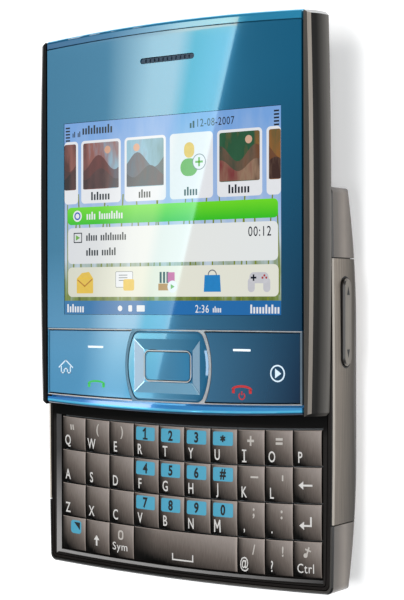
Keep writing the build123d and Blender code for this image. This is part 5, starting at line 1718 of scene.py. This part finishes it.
@dataclass
class Studio:
    """Pale floor, soft lights, a bright card that the window mirrors, and the camera.

    The card's colours run across it from its straight edge, as rows of a place, a level and a tint; its fade,
    its foot and its head run over it as rows of a place and a tint.
    """

    eye: tuple = (161.788, 16.486, 241.190)
    turn: tuple = (0.06197, -34.41195, 0.09398)
    lens: float = 88.35
    sensor: float = 36.0
    floor_size: float = 4000.0
    window_height: float = 16.6
    edge_high: Point = (15.97, 67.08)
    edge_low: Point = (-3.91, -4.26)
    card_height: float = 416.6
    card_reach: float = 420.0
    card_overrun: float = 0.35
    card_strength: float = 4.4
    card_levels: tuple = (
        (0.0, 4.2, (0.62, 0.95, 1.0)), (0.012, 3.0, (0.5, 0.98, 1.0)), (0.06, 2.3, (0.42, 1.0, 0.95)),
        (0.085, 3.0, (0.95, 1.0, 0.86)), (0.125, 2.8, (0.95, 1.0, 0.86)), (0.2, 0.62, (0.8, 0.97, 1.0)),
        (0.45, 0.3, (0.9, 0.96, 1.0)), (1.0, 0.2, WHITE),
    )
    card_fade: tuple = ((0.228, (0.26, 0.38, 0.46)), (0.27, (0.42, 0.49, 0.53)), (0.294, (0.55, 0.58, 0.59)),
                        (0.34, (0.9, 0.8, 0.8)), (0.4, WHITE))
    card_foot: tuple = ((0.0, (1.0, 0.86, 0.8)), (0.14, (1.0, 0.86, 0.8)), (0.18, scaled(WHITE, 0.1)),
                        (1.0, scaled(WHITE, 0.05)))
    card_head: tuple = ((0.0, (1.0, 0.82, 0.5)), (0.085, (0.8, 0.7, 0.5)), (0.125, (0.5, 0.46, 0.38)),
                        (0.2, scaled(WHITE, 0.18)), (1.0, scaled(WHITE, 0.05)))
    foot_top: float = 0.2145
    head_foot: float = 0.787
    world_colour: tuple = (0.8, 0.92, 1.0, 1.0)

    def place(self, name: str, data: bpy.types.ID) -> bpy.types.Object:
        """Puts a new object with the given data into the scene."""
        new = bpy.data.objects.new(name, data)
        bpy.context.scene.collection.objects.link(new)
        return new

    def rotation(self) -> Matrix:
        """World rotation of the camera: the transpose of turns about Z, X and Y in degrees."""
        x, y, z = (math.radians(a) for a in self.turn)
        return (Matrix.Rotation(z, 3, "Z") @ Matrix.Rotation(x, 3, "X") @ Matrix.Rotation(y, 3, "Y")).transposed()

    def camera(self) -> None:
        """Creates the camera and makes it the scene's own."""
        data = bpy.data.cameras.new("camera")
        data.lens, data.sensor_width, data.sensor_fit = self.lens, self.sensor, "AUTO"
        data.clip_start, data.clip_end = 0.01, 20.0
        data.dof.use_dof = False
        view = self.place("camera", data)
        view.matrix_world = Matrix.Translation(Vector(self.eye) * MM) @ self.rotation().to_4x4()
        bpy.context.scene.camera = view

    def sheet(self, name: str, corners: list, material: Material) -> None:
        """Lays one stage sheet with a UV map from (0, 0) to (1, 1).

        Args:
            name: its name.
            corners: its four corners, in millimetres.
            material: its material.
        """
        mesh = bpy.data.meshes.new(name)
        mesh.from_pydata([tuple(c * MM for c in corner) for corner in corners], [], [(0, 1, 2, 3)])
        mesh.uv_layers.new(name="UVMap").data.foreach_set("uv", [0, 0, 1, 0, 1, 1, 0, 1])
        mesh.materials.append(material)
        self.place(name, mesh)

    def floor(self) -> None:
        """Lays a wide pale sheet on the plane that the phone rests on."""
        half = self.floor_size / 2
        shader = Shader("floor_white")
        shader.set(Base_Color=shader.mottle(shader.noise(0.002), WHITE, 0.93, 0.95), Roughness=0.9)
        shader.set(Emission_Color=WHITE, Emission_Strength=0.3)
        self.sheet("floor", [(-half, -half, 0), (half, -half, 0), (half, half, 0), (-half, half, 0)], shader.material)

    def seen_in_window(self, x: float, y: float) -> np.ndarray:
        """Point of the card's plane that the camera sees mirrored at (x, y) of the window.

        The eye is mirrored in the window's plane, and the ray from it through (x, y) is carried on to the card.

        Args:
            x: place across the window.
            y: place up the window.

        Returns:
            The point, in millimetres.
        """
        eye = np.array([self.eye[0], self.eye[1], 2 * self.window_height - self.eye[2]])
        through = np.array([x, y, self.window_height])
        return eye + (through - eye) * (self.card_height - eye[2]) / (self.window_height - eye[2])

    def card_glow(self) -> Material:
        """Returns the card's glow: levels across it, faded along it, with a head and a foot of their own."""
        shader = Shader("card_glow")
        uv = shader.where.outputs["UV"]
        along = shader.axis(1, uv)
        across = shader.times(shader.axis(0, uv), shader.span(along, 0.2, 0.8, 1.7, 1.0))
        levels = [(place, scaled(tint, level / self.card_strength)) for place, level, tint in self.card_levels]
        glare = shader.product(shader.ramp(across, levels), shader.ramp(along, self.card_fade))
        on_foot = shader.below(along, self.foot_top)
        glare = shader.mix(on_foot, glare, shader.ramp(across, self.card_foot))
        on_head = shader.above(along, self.head_foot)
        glare = shader.mix(on_head, glare, shader.ramp(across, self.card_head))
        glow = shader.node("ShaderNodeEmission")
        light = shader.fill(glow, {"Color": glare, "Strength": self.card_strength})
        shader.feed(shader.output.inputs["Surface"], light)
        return shader.material

    def card(self) -> None:
        """Hangs the bright card: its straight edge and its streaks show in the glossy front."""
        high, low = self.seen_in_window(*self.edge_high), self.seen_in_window(*self.edge_low)
        run = (high - low) * self.card_overrun
        high, low = high + run, low - run
        reach = np.array([-self.card_reach, 0, 0])
        self.sheet("bright_card", [low, low + reach, high + reach, high], self.card_glow())

    def panel(self, name: str, middle: tuple, aim: tuple, size: Point, power: float) -> None:
        """Hangs one soft rectangular light.

        Args:
            name: its name.
            middle: its centre, in millimetres.
            aim: the point that it faces.
            size: its width and height.
            power: its power in watts.
        """
        data = bpy.data.lights.new(name, "AREA")
        data.shape, data.size, data.size_y, data.energy = "RECTANGLE", size[0] * MM, size[1] * MM, power
        lamp = self.place(name, data)
        lamp.location = Vector(middle) * MM
        lamp.rotation_euler = (Vector(middle) - Vector(aim)).to_track_quat("Z", "Y").to_euler()

    def build(self) -> None:
        """Sets up the stage."""
        scene = bpy.context.scene
        scene.view_settings.view_transform = "Standard"
        world = bpy.data.worlds.new("studio")
        world.use_nodes = True
        background = world.node_tree.nodes["Background"].inputs
        background["Color"].default_value = self.world_colour
        background["Strength"].default_value = DARK_SURROUND
        scene.world = world
        self.floor()
        self.card()
        self.panel("overhead", (-20, 60, 950), (0, 20, 0), (420, 900), 8.2)
        self.panel("right_box", (620, 40, 430), (30, 20, 10), (400, 900), 3.4)
        self.camera()


def main() -> None:
    """Builds the phone's looks and the studio."""
    logging.basicConfig(level=logging.INFO, format="%(message)s")
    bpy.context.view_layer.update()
    finishes = Finishes()
    dress_solids(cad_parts, finishes)
    Keyboard(finishes).build()
    FrontKeys(finishes).build()
    DisplayPage(finishes).build()
    RockerSigns(finishes).build()
    Studio().build()


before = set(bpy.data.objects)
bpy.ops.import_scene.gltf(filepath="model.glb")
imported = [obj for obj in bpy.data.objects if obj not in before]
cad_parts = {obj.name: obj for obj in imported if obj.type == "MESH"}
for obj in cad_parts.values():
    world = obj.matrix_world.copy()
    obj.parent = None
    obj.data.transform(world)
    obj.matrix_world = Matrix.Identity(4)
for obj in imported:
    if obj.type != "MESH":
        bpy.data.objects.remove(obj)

if __name__ == "__main__":
    main()
